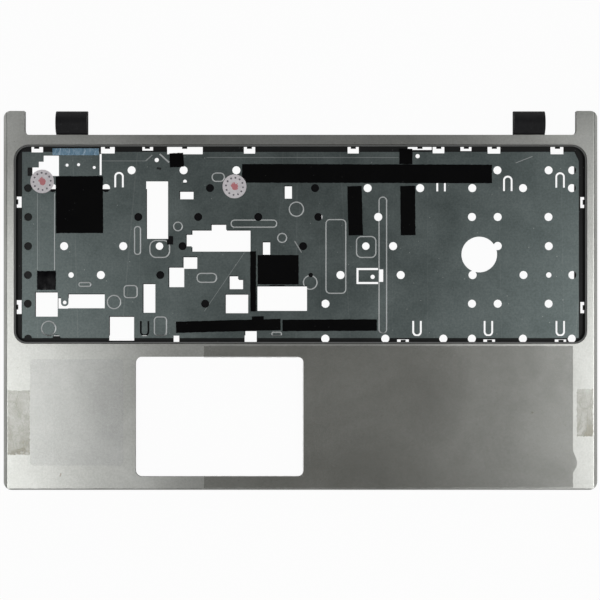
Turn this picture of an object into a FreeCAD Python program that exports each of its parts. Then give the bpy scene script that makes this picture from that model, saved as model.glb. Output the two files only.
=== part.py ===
import FreeCAD, Part
import Sketcher
import math
import os

# Palm rest of a 15-inch laptop, seen from above with the rear edge at +Y.
# The origin is under the middle of the part, on the plane that the cover's rim stands on.

doc = FreeCAD.newDocument("PalmRest")
sheet = doc.addObject("Spreadsheet::Sheet", "Sizes")
rows_used = 0


class Size:
    # A length with its number and the formula of cells that gives it.
    def __init__(self, value, text):
        self.value = value
        self.text = text

    def __add__(self, other):
        other = as_size(other)
        return Size(self.value + other.value, f"({self.text} + {other.text})")

    def __sub__(self, other):
        other = as_size(other)
        return Size(self.value - other.value, f"({self.text} - {other.text})")

    def __mul__(self, factor):
        if isinstance(factor, Size):
            return Size(self.value * factor.value, f"({self.text} * {factor.text})")
        return Size(self.value * factor, f"({self.text} * {factor})")

    def __truediv__(self, factor):
        return Size(self.value / factor, f"({self.text} / {factor})")

    def __neg__(self):
        return Size(-self.value, f"(0 mm - {self.text})")


def as_size(length):
    if isinstance(length, Size):
        return length
    return Size(float(length), f"({float(length)} * 1 mm)")


def cell(alias, value, note):
    # Writes one driving dimension into the next row of the sheet.
    global rows_used
    rows_used += 1
    sheet.set(f"A{rows_used}", note)
    sheet.set(f"B{rows_used}", str(value))
    sheet.setAlias(f"B{rows_used}", alias)
    return Size(float(value), f"(Sizes.{alias} * 1 mm)")


def share(alias, now, drawn, note):
    # Writes how a length compares with the one that the layout was drawn on.
    global rows_used
    rows_used += 1
    sheet.set(f"A{rows_used}", note)
    sheet.set(f"B{rows_used}", f"={now.text} / {as_size(drawn).text}".replace("Sizes.", ""))
    sheet.setAlias(f"B{rows_used}", alias)
    return Size(now.value / drawn, f"Sizes.{alias}")


def cells(name, note, **values):
    # Writes the sizes of one small form, such as a window, and returns them by name.
    return {key: cell(name + key.capitalize(), value, f"{note}, {key}") for key, value in values.items()}


# Top cover
cover_length = cell("coverLength", 382.0, "cover, overall length")
cover_depth = cell("coverDepth", 243.5, "cover, front edge to the end of the ears")
cover_height = cell("coverHeight", 8.0, "cover, rim to deck")
cover_wall = cell("coverWall", 1.8, "cover, wall and deck thickness")
front_corner = cell("frontCorner", 6.0, "cover, front corner radius in plan")
ear_corner = cell("earCorner", 5.0, "cover, outer corner radius of the ears")
ear_root = cell("earRoot", 3.0, "cover, inner corner radius where an ear meets the bar")
ear_length = cell("earLength", 15.35, "ears, reach behind the rear bar")
ear_width = cell("earWidth", 13.6, "ears, width")
side_roll = cell("sideRoll", 3.0, "cover, rounding of the side edges")
front_roll = cell("frontRoll", 1.0, "cover, rounding of the front edge")
bar_width = cell("barWidth", 7.4, "rear bar between the keyboard well and the hinge bay")
boss_radius = cell("bossRadius", 3.2, "screw boss, radius")
boss_lift = cell("bossLift", 0.3, "screw boss, end above the rim")
stake_length = cell("stakeLength", 3.0, "heat stake, length of its flat pin")
stake_width = cell("stakeWidth", 1.4, "heat stake, width of its flat pin")
stake_rim = cell("stakeRim", 0.7, "heat stake, how far its head spreads round the pin")
stake_head_height = cell("stakeHeadHeight", 0.6, "heat stake, head height")
rib_width = cell("ribWidth", 1.2, "rib, width")
rib_height = cell("ribHeight", 2.8, "rib, height under the deck")
rib_gap = cell("ribGap", 1.0, "long rib, end clear of the cover's wall")
rib_end = cell("ribEnd", 1.5, "cross rib, end clear of the well frame's flange")
rooting = cell("rooting", 0.5, "rib or catch, how deep it is rooted in the wall")
hook_reach = cell("hookReach", 0.9, "snap catch, reach from the wall")
hook_length = cell("hookLength", 8.0, "snap catch, length")
hook_height = cell("hookHeight", 1.4, "snap catch, height")
hook_lift = cell("hookLift", 1.0, "snap catch, lower face above the rim")

# Keyboard well and its frame
side_rim = cell("sideRim", 8.0, "cover's side to the keyboard well")
palm_depth = cell("palmDepth", 95.05, "cover's front edge to the keyboard well")
well_rear_corner = cell("wellRearCorner", 9.0, "keyboard well, rear corner radius")
well_front_corner = cell("wellFrontCorner", 7.0, "keyboard well, front corner radius")
lip_width = cell("lipWidth", 0.8, "well frame, width of the lip that shows beside the deck")
lip_drop = cell("lipDrop", 0.2, "well frame, lip below the deck")
seam_gap = cell("seamGap", 0.35, "gap between the deck and the lip")
frame_wall = cell("frameWall", 1.6, "well frame, wall thickness below the deck")
flange_reach = cell("flangeReach", 4.9, "well frame, flange under the deck")
flange_thickness = cell("flangeThickness", 1.2, "well frame, flange thickness")
ledge_thickness = cell("ledgeThickness", 1.4, "well frame, ledge under the plate")
lap_left = cell("lapLeft", 6.4, "ledge, reach under the plate at the left")
lap_right = cell("lapRight", 2.8, "ledge, reach under the plate at the right")
lap_rear = cell("lapRear", 1.2, "ledge, reach under the plate at the rear")
lap_front = cell("lapFront", 1.3, "ledge, reach under the plate at the front")
ledge_corner = cell("ledgeCorner", 2.0, "ledge, corner radius of its opening")
lug_length = cell("lugLength", 3.2, "keyboard lug, length")
lug_reach = cell("lugReach", 1.4, "keyboard lug, reach from the wall")
lug_height = cell("lugHeight", 0.9, "keyboard lug, height")
lug_lift = cell("lugLift", 1.1, "keyboard lug, above the plate")
stake_play = cell("stakePlay", 0.15, "play round a heat stake")

# Keyboard plate
plate_depth = cell("plateDepth", 4.0, "plate, below the deck")
plate_thickness = cell("plateThickness", 0.6, "plate, sheet thickness")
plate_gap_side = cell("plateGapSide", 3.7, "plate edge to the well's side walls")
plate_gap_rear = cell("plateGapRear", 3.3, "plate edge to the well's rear wall")
plate_gap_front = cell("plateGapFront", 2.5, "plate edge to the well's front wall")
plate_clip_x = cell("plateClipX", 2.9, "plate, clipped rear right corner, along X")
plate_clip_y = cell("plateClipY", 6.0, "plate, clipped rear right corner, along Y")
relief_radius = cell("reliefRadius", 2.65, "plate, relief hole under a key, radius")
form_height = cell("formHeight", 0.45, "plate, height of the stamped forms")
form_slope = cell("formSlope", 62.0, "plate, slope of a stamped form from upright, in degrees")
form_inset = cell("formInset", 0.9, "plate, stamped form, inset of its hollow underside")
slit_width = cell("slitWidth", 1.2, "plate, width of the U-shaped slits")
slit_span = cell("slitSpan", 6.1, "plate, width across a U-shaped slit")
slit_length = cell("slitLength", 9.9, "plate, length of a U-shaped slit")
slit_bend = cell("slitBend", 3.0, "plate, outer bend radius of a U-shaped slit")

# Touchpad opening
pad_length = cell("padLength", 108.0, "touchpad opening, length")
pad_gap = cell("padGap", 9.5, "touchpad opening, rear edge to the keyboard well")
pad_corner = cell("padCorner", 4.0, "touchpad opening, corner radius")
pad_centre = cell("padCentre", -52.0, "touchpad opening, middle from the cover's middle")
pad_front = cell("padFront", 8.55, "touchpad opening, front edge to the cover's front")
pad_screw_gap = cell("padScrewGap", 4.0, "touchpad screw, from the opening's side")
pad_screw_inset = cell("padScrewInset", 9.0, "touchpad screw, from the opening's end")
pad_boss_radius = cell("padBossRadius", 2.2, "touchpad boss, radius")
pad_screw_radius = cell("padScrewRadius", 0.8, "touchpad screw hole, radius")
pad_boss_height = cell("padBossHeight", 3.6, "touchpad boss, height under the deck")

# Hinge caps
cap_width = cell("capWidth", 20.0, "hinge cap, width")
cap_inset = cell("capInset", 44.0, "hinge cap, middle from the cover's side")
cap_radius = cell("capRadius", 7.75, "hinge cap, radius of its barrel")
cap_wall = cell("capWall", 1.4, "hinge cap, wall")
cap_lift = cell("capLift", 0.5, "hinge cap, lower edge above the rim")
cap_axis_height = cell("capAxisHeight", 4.45, "hinge cap, axis of its barrel above the rim")
tab_width = cell("tabWidth", 3.0, "hinge cap, snap tab width")
tab_height = cell("tabHeight", 1.5, "hinge cap, snap tab height")
tab_lift = cell("tabLift", 2.5, "hinge cap, snap tab above the rim")
tab_spread = cell("tabSpread", 9.0, "hinge cap, distance between its two tabs")
tab_end = cell("tabEnd", 0.8, "hinge cap, snap tab past the cover's wall")
tab_play = cell("tabPlay", 0.1, "play round a snap tab")

# Threaded inserts
insert_radius = cell("insertRadius", 2.1, "threaded insert, outer radius")
insert_bore = cell("insertBore", 1.25, "threaded insert, bore radius")
insert_length = cell("insertLength", 4.0, "threaded insert, length")
insert_play = cell("insertPlay", 0.02, "round a threaded insert")
screw_side = cell("screwSide", 7.0, "corner screw, from the cover's side")
screw_front = cell("screwFront", 9.75, "corner screw, from the cover's front")
screw_rear = cell("screwRear", 8.75, "corner screw, from the end of the ears")
palm_screw_x = cell("palmScrewX", 118.0, "palm screw, from the middle")
palm_screw_front = cell("palmScrewFront", 9.75, "palm screws, front row, from the cover's front")
palm_screw_rear = cell("palmScrewRear", 9.3, "palm screws, rear row, from the keyboard well")

# Sheets and tapes
insulator_thickness = cell("insulatorThickness", 0.15, "insulating sheet, thickness")
insulator_right = cell("insulatorRight", 13.7, "insulating sheet, right edge")
insulator_rear = cell("insulatorRear", 71.8, "insulating sheet, rear edge at the left")
insulator_step = cell("insulatorStep", 4.2, "insulating sheet, how much further back its right part goes")
insulator_step_x = cell("insulatorStepX", -82.0, "insulating sheet, where that step is")
insulator_play = cell("insulatorPlay", 0.3, "insulating sheet, clear of the ledge")
insulator_show = cell("insulatorShow", 0.5, "insulating sheet, what shows inside a window")
tape_thickness = cell("tapeThickness", 0.2, "tape, thickness")
film_thickness = cell("filmThickness", 0.1, "clear film, thickness")
sticker_thickness = cell("stickerThickness", 0.15, "paper sticker, thickness")

# Levels
deck_under = cover_height - cover_wall
plate_top = cover_height - plate_depth
plate_under = plate_top - plate_thickness
ledge_under = plate_under - ledge_thickness
lip_top = cover_height - lip_drop
flange_under = deck_under - flange_thickness
insulator_under = plate_under - insulator_thickness

# Edges in plan
side = cover_length / 2
front = -(cover_depth / 2)
rear = cover_depth / 2
bar_rear = rear - ear_length
ear_inner = side - ear_width
cap_centre = side - cap_inset
well_side = side - side_rim
well_rear = bar_rear - bar_width
well_front = front + palm_depth
plate_side = well_side - plate_gap_side
plate_rear = well_rear - plate_gap_rear
plate_front = well_front + plate_gap_front
ledge_left = -plate_side + lap_left
ledge_right = plate_side - lap_right
ledge_rear = plate_rear - lap_rear
ledge_front = plate_front + lap_front
pad_left = pad_centre - pad_length / 2
pad_right = pad_centre + pad_length / 2
pad_front_edge = front + pad_front
pad_rear_edge = well_front - pad_gap

# The plate's layout: windows, holes, forms and tapes keep their share of the plate. They were drawn
# on a plate of this half length and depth, with its front edge at this place.
DRAWN_SIDE = 179.3
DRAWN_DEPTH = 119.9
DRAWN_FRONT = -24.2
across_share = share("acrossShare", plate_side, DRAWN_SIDE, "layout, its share along X")
deep_share = share("deepShare", plate_rear - plate_front, DRAWN_DEPTH, "layout, its share along Y")


def across(x):
    return as_size(x) * across_share


def deep(y):
    return plate_front + (as_size(y) - as_size(DRAWN_FRONT)) * deep_share


def on_plate(form):
    # Moves the edges or the middle of a drawn form to their places on the plate.
    places = {"left": across, "right": across, "x": across, "front": deep, "rear": deep, "y": deep}
    return {key: places[key](size) if key in places else size for key, size in form.items()}


# Sketches, pads and pockets

def new_body(name):
    body = doc.addObject("PartDesign::Body", name)
    body.Label = name
    return body


class Drawing:
    # A sketch on one of the body's origin planes, moved along the plane's normal.
    def __init__(self, body, name, height=None, plane="XY_Plane"):
        self.sketch = body.newObject("Sketcher::SketchObject", name)
        support = [feature for feature in body.Origin.OriginFeatures if feature.Role == plane][0]
        self.sketch.AttachmentSupport = [(support, "")]
        self.sketch.MapMode = "FlatFace"
        self.constraints = []
        self.links = []
        if height is not None:
            self.sketch.setExpression("AttachmentOffset.Base.z", as_size(height).text)

    def add(self, shape):
        return self.sketch.addGeometry(shape, False)

    def rule(self, kind, *references):
        self.constraints.append(Sketcher.Constraint(kind, *references))

    def datum(self, kind, references, size):
        # A dimension whose value follows the sheet.
        size = as_size(size)
        self.links.append((len(self.constraints), size.text))
        self.constraints.append(Sketcher.Constraint(kind, *references, size.value))

    def finish(self):
        self.sketch.addConstraint(self.constraints)
        for index, text in self.links:
            self.sketch.setExpression(f"Constraints[{index}]", text)
        return self.sketch


def new_sketch(body, name, height=None, plane="XY_Plane"):
    return Drawing(body, name, height, plane)


def circle(sketch, x, y, radius):
    x, y, radius = as_size(x), as_size(y), as_size(radius)
    shape = Part.Circle(FreeCAD.Vector(x.value, y.value, 0), FreeCAD.Vector(0, 0, 1), radius.value)
    index = sketch.add(shape)
    sketch.datum("DistanceX", (index, 3), x)
    sketch.datum("DistanceY", (index, 3), y)
    sketch.datum("Radius", (index,), radius)


def outline(sketch, corners):
    # A closed outline from its corners (x, y, radius); a radius of 0 leaves the corner sharp.
    corners = [(as_size(x), as_size(y), as_size(radius)) for x, y, radius in corners]
    count = len(corners)
    points = [FreeCAD.Vector(x.value, y.value, 0) for x, y, radius in corners]
    steps = [(points[(i + 1) % count] - points[i]).normalize() for i in range(count)]
    trims = []
    turns = []
    for i in range(count):
        before = steps[i - 1]
        after = steps[i]
        turn = math.atan2(before.cross(after).z, before.dot(after))
        turns.append(turn)
        trims.append(corners[i][2].value * abs(math.tan(turn / 2)))
    lines = []
    for i in range(count):
        start = points[i] + steps[i] * trims[i]
        end = points[(i + 1) % count] - steps[i] * trims[(i + 1) % count]
        lines.append(sketch.add(Part.LineSegment(start, end)))
    flat = [abs(step.y) < 1e-9 for step in steps]
    upright = [abs(step.x) < 1e-9 for step in steps]
    for i in range(count):
        if flat[i]:
            sketch.rule("Horizontal", lines[i])
            sketch.datum("DistanceY", (lines[i], 1), corners[i][1])
        elif upright[i]:
            sketch.rule("Vertical", lines[i])
            sketch.datum("DistanceX", (lines[i], 1), corners[i][0])
    for i in range(count):
        last = i - 1
        if corners[i][2].value == 0:
            sketch.rule("Coincident", lines[last], 2, lines[i], 1)
            if not (upright[last] or upright[i]):
                sketch.datum("DistanceX", (lines[i], 1), corners[i][0])
            if not (flat[last] or flat[i]):
                sketch.datum("DistanceY", (lines[i], 1), corners[i][1])
            continue
        left_turn = turns[i] > 0
        sideways = FreeCAD.Vector(-steps[last].y, steps[last].x, 0) * (1 if left_turn else -1)
        arc_start = points[i] - steps[last] * trims[i]
        arc_end = points[i] + steps[i] * trims[i]
        centre = arc_start + sideways * corners[i][2].value
        first, second = (arc_start, arc_end) if left_turn else (arc_end, arc_start)
        round_edge = Part.ArcOfCircle(
            Part.Circle(centre, FreeCAD.Vector(0, 0, 1), corners[i][2].value),
            math.atan2(first.y - centre.y, first.x - centre.x),
            math.atan2(second.y - centre.y, second.x - centre.x),
        )
        arc = sketch.add(round_edge)
        entry, leave = (1, 2) if left_turn else (2, 1)
        sketch.rule("Tangent", lines[last], 2, arc, entry)
        sketch.rule("Tangent", lines[i], 1, arc, leave)
        sketch.datum("Radius", (arc,), corners[i][2])


def rectangle(sketch, left, right, low, high, radius=0):
    outline(sketch, [(left, low, radius), (right, low, radius), (right, high, radius), (left, high, radius)])


def pad(body, name, sketch, length, slope=None):
    feature = body.newObject("PartDesign::Pad", name)
    feature.Profile = sketch.finish()
    feature.setExpression("Length", as_size(length).text)
    if slope is not None:
        feature.setExpression("TaperAngle", f"0 deg - {slope.text} * 1 deg / 1 mm")
    body.Tip = feature
    return feature


def pocket(body, name, sketch, length):
    # Cuts from the sketch towards -Z.
    feature = body.newObject("PartDesign::Pocket", name)
    feature.Profile = sketch.finish()
    feature.setExpression("Length", as_size(length).text)
    body.Tip = feature
    return feature


# Top cover: one painted moulding, open underneath

def cover_corners(inset):
    # The cover's plan, counter-clockwise from the front left corner.
    return [
        (-side + inset, front + inset, front_corner - inset),
        (side - inset, front + inset, front_corner - inset),
        (side - inset, rear - inset, ear_corner - inset),
        (ear_inner + inset, rear - inset, 0),
        (ear_inner + inset, bar_rear - inset, ear_root + inset),
        (-ear_inner - inset, bar_rear - inset, ear_root + inset),
        (-ear_inner - inset, rear - inset, 0),
        (-side + inset, rear - inset, ear_corner - inset),
    ]


def corner_screws():
    return [
        (x, y)
        for y in (front + screw_front, rear - screw_rear)
        for x in (-side + screw_side, side - screw_side)
    ]


def palm_screws():
    return [
        (x, y)
        for y in (front + palm_screw_front, well_front - palm_screw_rear)
        for x in (-palm_screw_x, palm_screw_x)
    ]


def touchpad_screws():
    return [
        (x, y)
        for y in (pad_front_edge + pad_screw_inset, pad_rear_edge - pad_screw_inset)
        for x in (pad_left - pad_screw_gap, pad_right + pad_screw_gap)
    ]


def stake_places():
    # Middle and half sizes of each flat pin, which lies along the wall beside it.
    half = stake_length / 2
    thin = stake_width / 2
    middle = frame_wall + stake_play + stake_rim + thin
    places = []
    for number, x in enumerate((-160.0, -100.0, -35.0, 35.0, 100.0, 160.0), start=1):
        x = across(cell(f"stakeRow{number}", x, "heat stake beside the well, from the middle"))
        places.append((x, well_rear + middle, half, thin))
        places.append((x, well_front - middle, half, thin))
    for number, y in enumerate((8.0, 66.0), start=1):
        y = deep(cell(f"stakeSide{number}", y, "heat stake at the well's sides, from the middle"))
        places.append((-well_side - middle, y, thin, half))
        places.append((well_side + middle, y, thin, half))
    return places


def cap_tabs(centre):
    return [centre - tab_spread / 2, centre + tab_spread / 2]


def make_top_cover(stakes):
    body = new_body("top_cover")
    plan = new_sketch(body, "cover_plan")
    outline(plan, cover_corners(as_size(0)))
    pad(body, "cover_block", plan, cover_height)

    roll = new_sketch(body, "side_roll_profile", -rear, "XZ_Plane")
    for sign in (-1, 1):
        edge = side * sign
        inner = (side - side_roll) * sign
        roll_corner(roll, edge, inner, cover_height, side_roll, sign)
    cut_along(body, "side_rolls", roll)

    roll = new_sketch(body, "front_roll_profile", -side, "YZ_Plane")
    roll_corner(roll, front, front + front_roll, cover_height, front_roll, -1)
    cut_along(body, "front_roll", roll)

    hollow = new_sketch(body, "cover_hollow_plan", deck_under)
    outline(hollow, cover_corners(cover_wall))
    pocket(body, "cover_hollow", hollow, deck_under)

    ribs = new_sketch(body, "long_ribs_plan", deck_under - rib_height)
    for number, y in enumerate((61.75, 31.75), start=1):
        y = front + cell(f"longRib{number}", y, "long rib under the palm area, from the cover's front")
        rectangle(ribs, pad_right + rib_width * 2, side - cover_wall - rib_gap, y, y + rib_width)
    pad(body, "long_ribs", ribs, rib_height)

    ribs = new_sketch(body, "cross_ribs_plan", deck_under - rib_height)
    for number, x in enumerate((40.0, 80.0, 140.0, 165.0, -140.0, -165.0), start=1):
        x = cell(f"crossRib{number}", x, "cross rib under the palm area, place")
        rectangle(ribs, x, x + rib_width, front + cover_wall - rooting, well_front - flange_reach - rib_end)
    pad(body, "cross_ribs", ribs, rib_height)

    skirt = new_sketch(body, "touchpad_skirt_plan", deck_under - rib_height)
    rectangle(
        skirt,
        pad_left - rib_width,
        pad_right + rib_width,
        pad_front_edge - rib_width,
        pad_rear_edge + rib_width,
        pad_corner + rib_width,
    )
    pad(body, "touchpad_skirt", skirt, rib_height)

    bosses = new_sketch(body, "boss_plan", boss_lift)
    for x, y in corner_screws() + palm_screws():
        circle(bosses, x, y, boss_radius)
    pad(body, "screw_bosses", bosses, deck_under - boss_lift)

    bosses = new_sketch(body, "touchpad_boss_plan", deck_under - pad_boss_height)
    for x, y in touchpad_screws():
        circle(bosses, x, y, pad_boss_radius)
    pad(body, "touchpad_bosses", bosses, pad_boss_height)

    pins = new_sketch(body, "stake_pin_plan", flange_under)
    heads = new_sketch(body, "stake_head_plan", flange_under - stake_head_height)
    for x, y, half_x, half_y in stakes:
        rectangle(pins, x - half_x, x + half_x, y - half_y, y + half_y)
        wide_x = half_x + stake_rim
        wide_y = half_y + stake_rim
        rectangle(heads, x - wide_x, x + wide_x, y - wide_y, y + wide_y)
    pad(body, "stake_pins", pins, flange_thickness)
    pad(body, "stake_heads", heads, stake_head_height)

    catches = new_sketch(body, "snap_catch_plan", hook_lift)
    wall_inside = front + cover_wall
    for number, x in enumerate((-150.0, -90.0, -30.0, 30.0, 90.0, 150.0), start=1):
        x = cell(f"frontCatch{number}", x, "snap catch on the front wall, middle")
        half = hook_length / 2
        rectangle(catches, x - half, x + half, wall_inside - rooting, wall_inside + hook_reach)
    for number, y in enumerate((41.75, 101.75, 176.75), start=1):
        y = front + cell(f"sideCatch{number}", y, "snap catch on a side wall, middle from the cover's front")
        for sign in (-1, 1):
            wall = (side - cover_wall) * sign
            ends = sorted((wall + rooting * sign, wall - hook_reach * sign), key=lambda size: size.value)
            rectangle(catches, ends[0], ends[1], y - hook_length / 2, y + hook_length / 2)
    pad(body, "snap_catches", catches, hook_height)

    cuts = new_sketch(body, "opening_plan", cover_height)
    grow = lip_width + seam_gap
    outline(cuts, well_corners(grow))
    rectangle(cuts, pad_left, pad_right, pad_front_edge, pad_rear_edge, pad_corner)
    pocket(body, "openings", cuts, cover_height)

    bores = new_sketch(body, "insert_bore_plan", boss_lift + insert_length)
    for x, y in corner_screws() + palm_screws():
        circle(bores, x, y, insert_radius + insert_play)
    pocket(body, "insert_bores", bores, insert_length)

    bores = new_sketch(body, "touchpad_bore_plan", deck_under)
    for x, y in touchpad_screws():
        circle(bores, x, y, pad_screw_radius)
    pocket(body, "touchpad_bores", bores, pad_boss_height)

    slots = new_sketch(body, "cap_slot_plan", tab_lift + tab_height + tab_play)
    for sign in (-1, 1):
        for x in cap_tabs(cap_centre * sign):
            rectangle(
                slots,
                x - tab_width / 2 - tab_play,
                x + tab_width / 2 + tab_play,
                bar_rear - cover_wall,
                bar_rear,
            )
    pocket(body, "cap_slots", slots, tab_height + tab_play * 2)
    return body


def roll_corner(sketch, edge, inner, top, radius, sign):
    # The sliver between a square edge and its rounding, in a sketch across the edge.
    points = (
        FreeCAD.Vector(as_size(inner).value, top.value, 0),
        FreeCAD.Vector(as_size(edge).value, top.value, 0),
        FreeCAD.Vector(as_size(edge).value, (top - radius).value, 0),
    )
    flat = sketch.add(Part.LineSegment(points[0], points[1]))
    upright = sketch.add(Part.LineSegment(points[1], points[2]))
    centre = FreeCAD.Vector(as_size(inner).value, (top - radius).value, 0)
    angles = (0, math.pi / 2) if sign > 0 else (math.pi / 2, math.pi)
    arc = sketch.add(Part.ArcOfCircle(Part.Circle(centre, FreeCAD.Vector(0, 0, 1), radius.value), *angles))
    start, end = (1, 2) if sign > 0 else (2, 1)
    sketch.rule("Coincident", flat, 2, upright, 1)
    sketch.rule("Tangent", upright, 2, arc, start)
    sketch.rule("Tangent", flat, 1, arc, end)
    sketch.rule("Horizontal", flat)
    sketch.rule("Vertical", upright)
    sketch.datum("DistanceY", (flat, 1), top)
    sketch.datum("DistanceX", (flat, 2), edge)
    sketch.datum("Radius", (arc,), radius)


def cut_along(body, name, sketch):
    # Cuts an upright profile along the part, both ways from the sketch.
    feature = body.newObject("PartDesign::Pocket", name)
    feature.Profile = sketch.finish()
    feature.Type = 1
    feature.Midplane = True
    body.Tip = feature
    return feature


# Well frame: black moulding that lines the keyboard well and carries the plate

def well_corners(grow):
    # The keyboard well's plan, grown outwards, counter-clockwise from the front left corner.
    return [
        (-well_side - grow, well_front - grow, well_front_corner + grow),
        (well_side + grow, well_front - grow, well_front_corner + grow),
        (well_side + grow, well_rear + grow, well_rear_corner + grow),
        (-well_side - grow, well_rear + grow, well_rear_corner + grow),
    ]


def edge_notches():
    # Openings in the ledge beside the plate: the wall they start at, their run and their reach.
    notches = []
    rear_runs = (
        (-173.5, -165.9, 3.6), (-128.7, -119.7, 4.3), (-102.0, -95.0, 2.4), (-86.0, -63.0, 4.8),
        (-36.5, -29.2, 4.4), (30.4, 37.6, 4.3), (69.2, 84.6, 2.0), (85.2, 92.8, 4.2),
        (103.1, 110.3, 2.7), (120.6, 128.9, 4.4), (161.1, 169.6, 4.8),
    )
    front_runs = ((62.3, 69.9, 1.6), (117.9, 125.5, 1.6), (163.9, 171.4, 1.6))
    left_runs = ((-8.7, 0.2, 3.3), (59.8, 67.0, 3.3))
    right_runs = ((-8.2, -1.0, 2.6), (59.6, 66.7, 2.6))
    walls = (
        ("rear", across, rear_runs), ("front", across, front_runs), ("left", deep, left_runs),
        ("right", deep, right_runs),
    )
    for wall, place, runs in walls:
        for number, (start, end, reach) in enumerate(runs, start=1):
            note = f"notch in the {wall} ledge"
            run = cells(f"{wall}Notch{number}", note, start=start, end=end, reach=reach)
            run["start"] = place(run["start"])
            run["end"] = place(run["end"])
            notches.append((wall, run))
    return notches


def notch_box(wall, run, reach):
    # Left, right, front and rear of a form that stands on one wall of the well.
    if wall == "rear":
        return run["start"], run["end"], well_rear - reach, well_rear
    if wall == "front":
        return run["start"], run["end"], well_front, well_front + reach
    if wall == "left":
        return -well_side, -well_side + reach, run["start"], run["end"]
    return well_side - reach, well_side, run["start"], run["end"]


def lug_run(run):
    middle = (run["start"] + run["end"]) / 2
    return {"start": middle - lug_length / 2, "end": middle + lug_length / 2}


def make_well_frame(stakes, notches, windows, holes):
    body = new_body("well_frame")
    plan = new_sketch(body, "lip_plan", ledge_under)
    outline(plan, well_corners(lip_width))
    pad(body, "lip_block", plan, lip_top - ledge_under)

    plan = new_sketch(body, "wall_plan", ledge_under)
    outline(plan, well_corners(frame_wall))
    pad(body, "wall_block", plan, deck_under - ledge_under)

    plan = new_sketch(body, "flange_plan", flange_under)
    outline(plan, well_corners(flange_reach))
    pad(body, "flange", plan, flange_thickness)

    plan = new_sketch(body, "well_plan", lip_top)
    outline(plan, well_corners(as_size(0)))
    pocket(body, "well", plan, lip_top - plate_under)

    plan = new_sketch(body, "ledge_plan", plate_under)
    rectangle(plan, ledge_left, ledge_right, ledge_front, ledge_rear, ledge_corner)
    pocket(body, "ledge_opening", plan, ledge_thickness)

    plan = new_sketch(body, "notch_plan", plate_under)
    for wall, run in notches:
        rectangle(plan, *notch_box(wall, run, run["reach"]))
    pocket(body, "ledge_notches", plan, ledge_thickness)

    plan = new_sketch(body, "front_window_plan", plate_under)
    for window in windows:
        rectangle(plan, window["left"], window["right"], window["front"], window["rear"])
    for x, y, radius in holes:
        circle(plan, x, y, radius)
    pocket(body, "ledge_windows", plan, ledge_thickness)

    plan = new_sketch(body, "stake_hole_plan", deck_under)
    for x, y, half_x, half_y in stakes:
        wide_x = half_x + stake_play
        wide_y = half_y + stake_play
        rectangle(plan, x - wide_x, x + wide_x, y - wide_y, y + wide_y)
    pocket(body, "stake_holes", plan, flange_thickness)

    plan = new_sketch(body, "lug_plan", plate_top + lug_lift)
    for wall, run in notches:
        rectangle(plan, *lug_box(wall, run))
    pad(body, "keyboard_lugs", plan, lug_height)
    return body


def lug_box(wall, run):
    # A lug starts inside the wall, so that it is one with it.
    low_x, high_x, low_y, high_y = notch_box(wall, lug_run(run), lug_reach)
    root = lip_width / 2
    if wall == "rear":
        return low_x, high_x, low_y, high_y + root
    if wall == "front":
        return low_x, high_x, low_y - root, high_y
    if wall == "left":
        return low_x - root, high_x, low_y, high_y
    return low_x, high_x + root, low_y, high_y


# Keyboard plate: thin steel, blanked, pierced and stamped

def window(name, left, right, low, high):
    return on_plate(cells(name, "window in the plate", left=left, right=right, front=low, rear=high))


def main_windows():
    return {
        "tall": window("windowTall", -99.4, -85.3, 39.7, 76.7),
        "small": window("windowSmall", -78.0, -68.9, 65.2, 70.5),
        "tab": window("windowTab", -10.6, -5.5, 65.6, 74.0),
        "wide": window("windowWide", -70.1, -32.2, 31.5, 45.5),
        "stepRear": window("windowStepRear", -75.8, -66.5, 20.4, 28.3),
        "post": window("windowPost", -101.6, -93.5, -7.9, 11.0),
        "cell": window("windowCell", -46.1, -37.0, 7.3, 13.7),
        "card": window("windowCard", -48.6, -33.7, -8.2, 4.2),
        "upright": window("windowUpright", -24.7, -19.5, 29.5, 37.9),
        "drive": window("windowDrive", -28.2, 4.2, -6.7, 9.5),
        "leftLarge": window("windowLeftLarge", -171.0, -156.4, -10.4, 5.6),
        "leftLong": window("windowLeftLong", -149.8, -126.1, -5.0, 4.4),
        "square": window("windowSquare", -123.3, -107.2, -25.9, -10.1),
        "frontSmall": window("windowFrontSmall", -81.8, -78.1, -26.7, -22.7),
        "front": window("windowFront", -36.0, -28.2, -26.7, -19.3),
        "corner": window("windowCorner", -165.5, -155.6, 80.2, 93.3),
        "slit": window("windowSlit", -129.4, -128.1, 80.8, 95.0),
        "tongueRear": window("tongueRear", 36.1, 50.0, 19.6, 20.9),
        "tongueFront": window("tongueFront", 36.1, 50.0, 10.6, 11.9),
        "slot": window("windowSlot", 50.7, 53.3, 12.0, 20.0),
    }


def joined_windows():
    # Steps, bumps and links that run into the main windows.
    return {
        "wideLeft": window("windowWideLeft", -73.8, -70.0, 34.9, 42.8),
        "wideBump": window("windowWideBump", -57.7, -47.9, 45.4, 49.2),
        "stepFront": window("windowStepFront", -85.0, -74.9, 8.6, 21.6),
        "cellStep": window("windowCellStep", -46.1, -40.2, 13.6, 16.0),
        "driveBump": window("windowDriveBump", -19.9, -10.1, 9.4, 10.0),
        "leftLink": window("windowLeftLink", -156.5, -149.7, -5.2, 1.9),
        "tongueLeft": window("tongueLeft", 36.1, 37.4, 11.8, 19.7),
        "tallFoot": window("windowTallFoot", -86.0, -82.0, 36.0, 41.5),
    }


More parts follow.
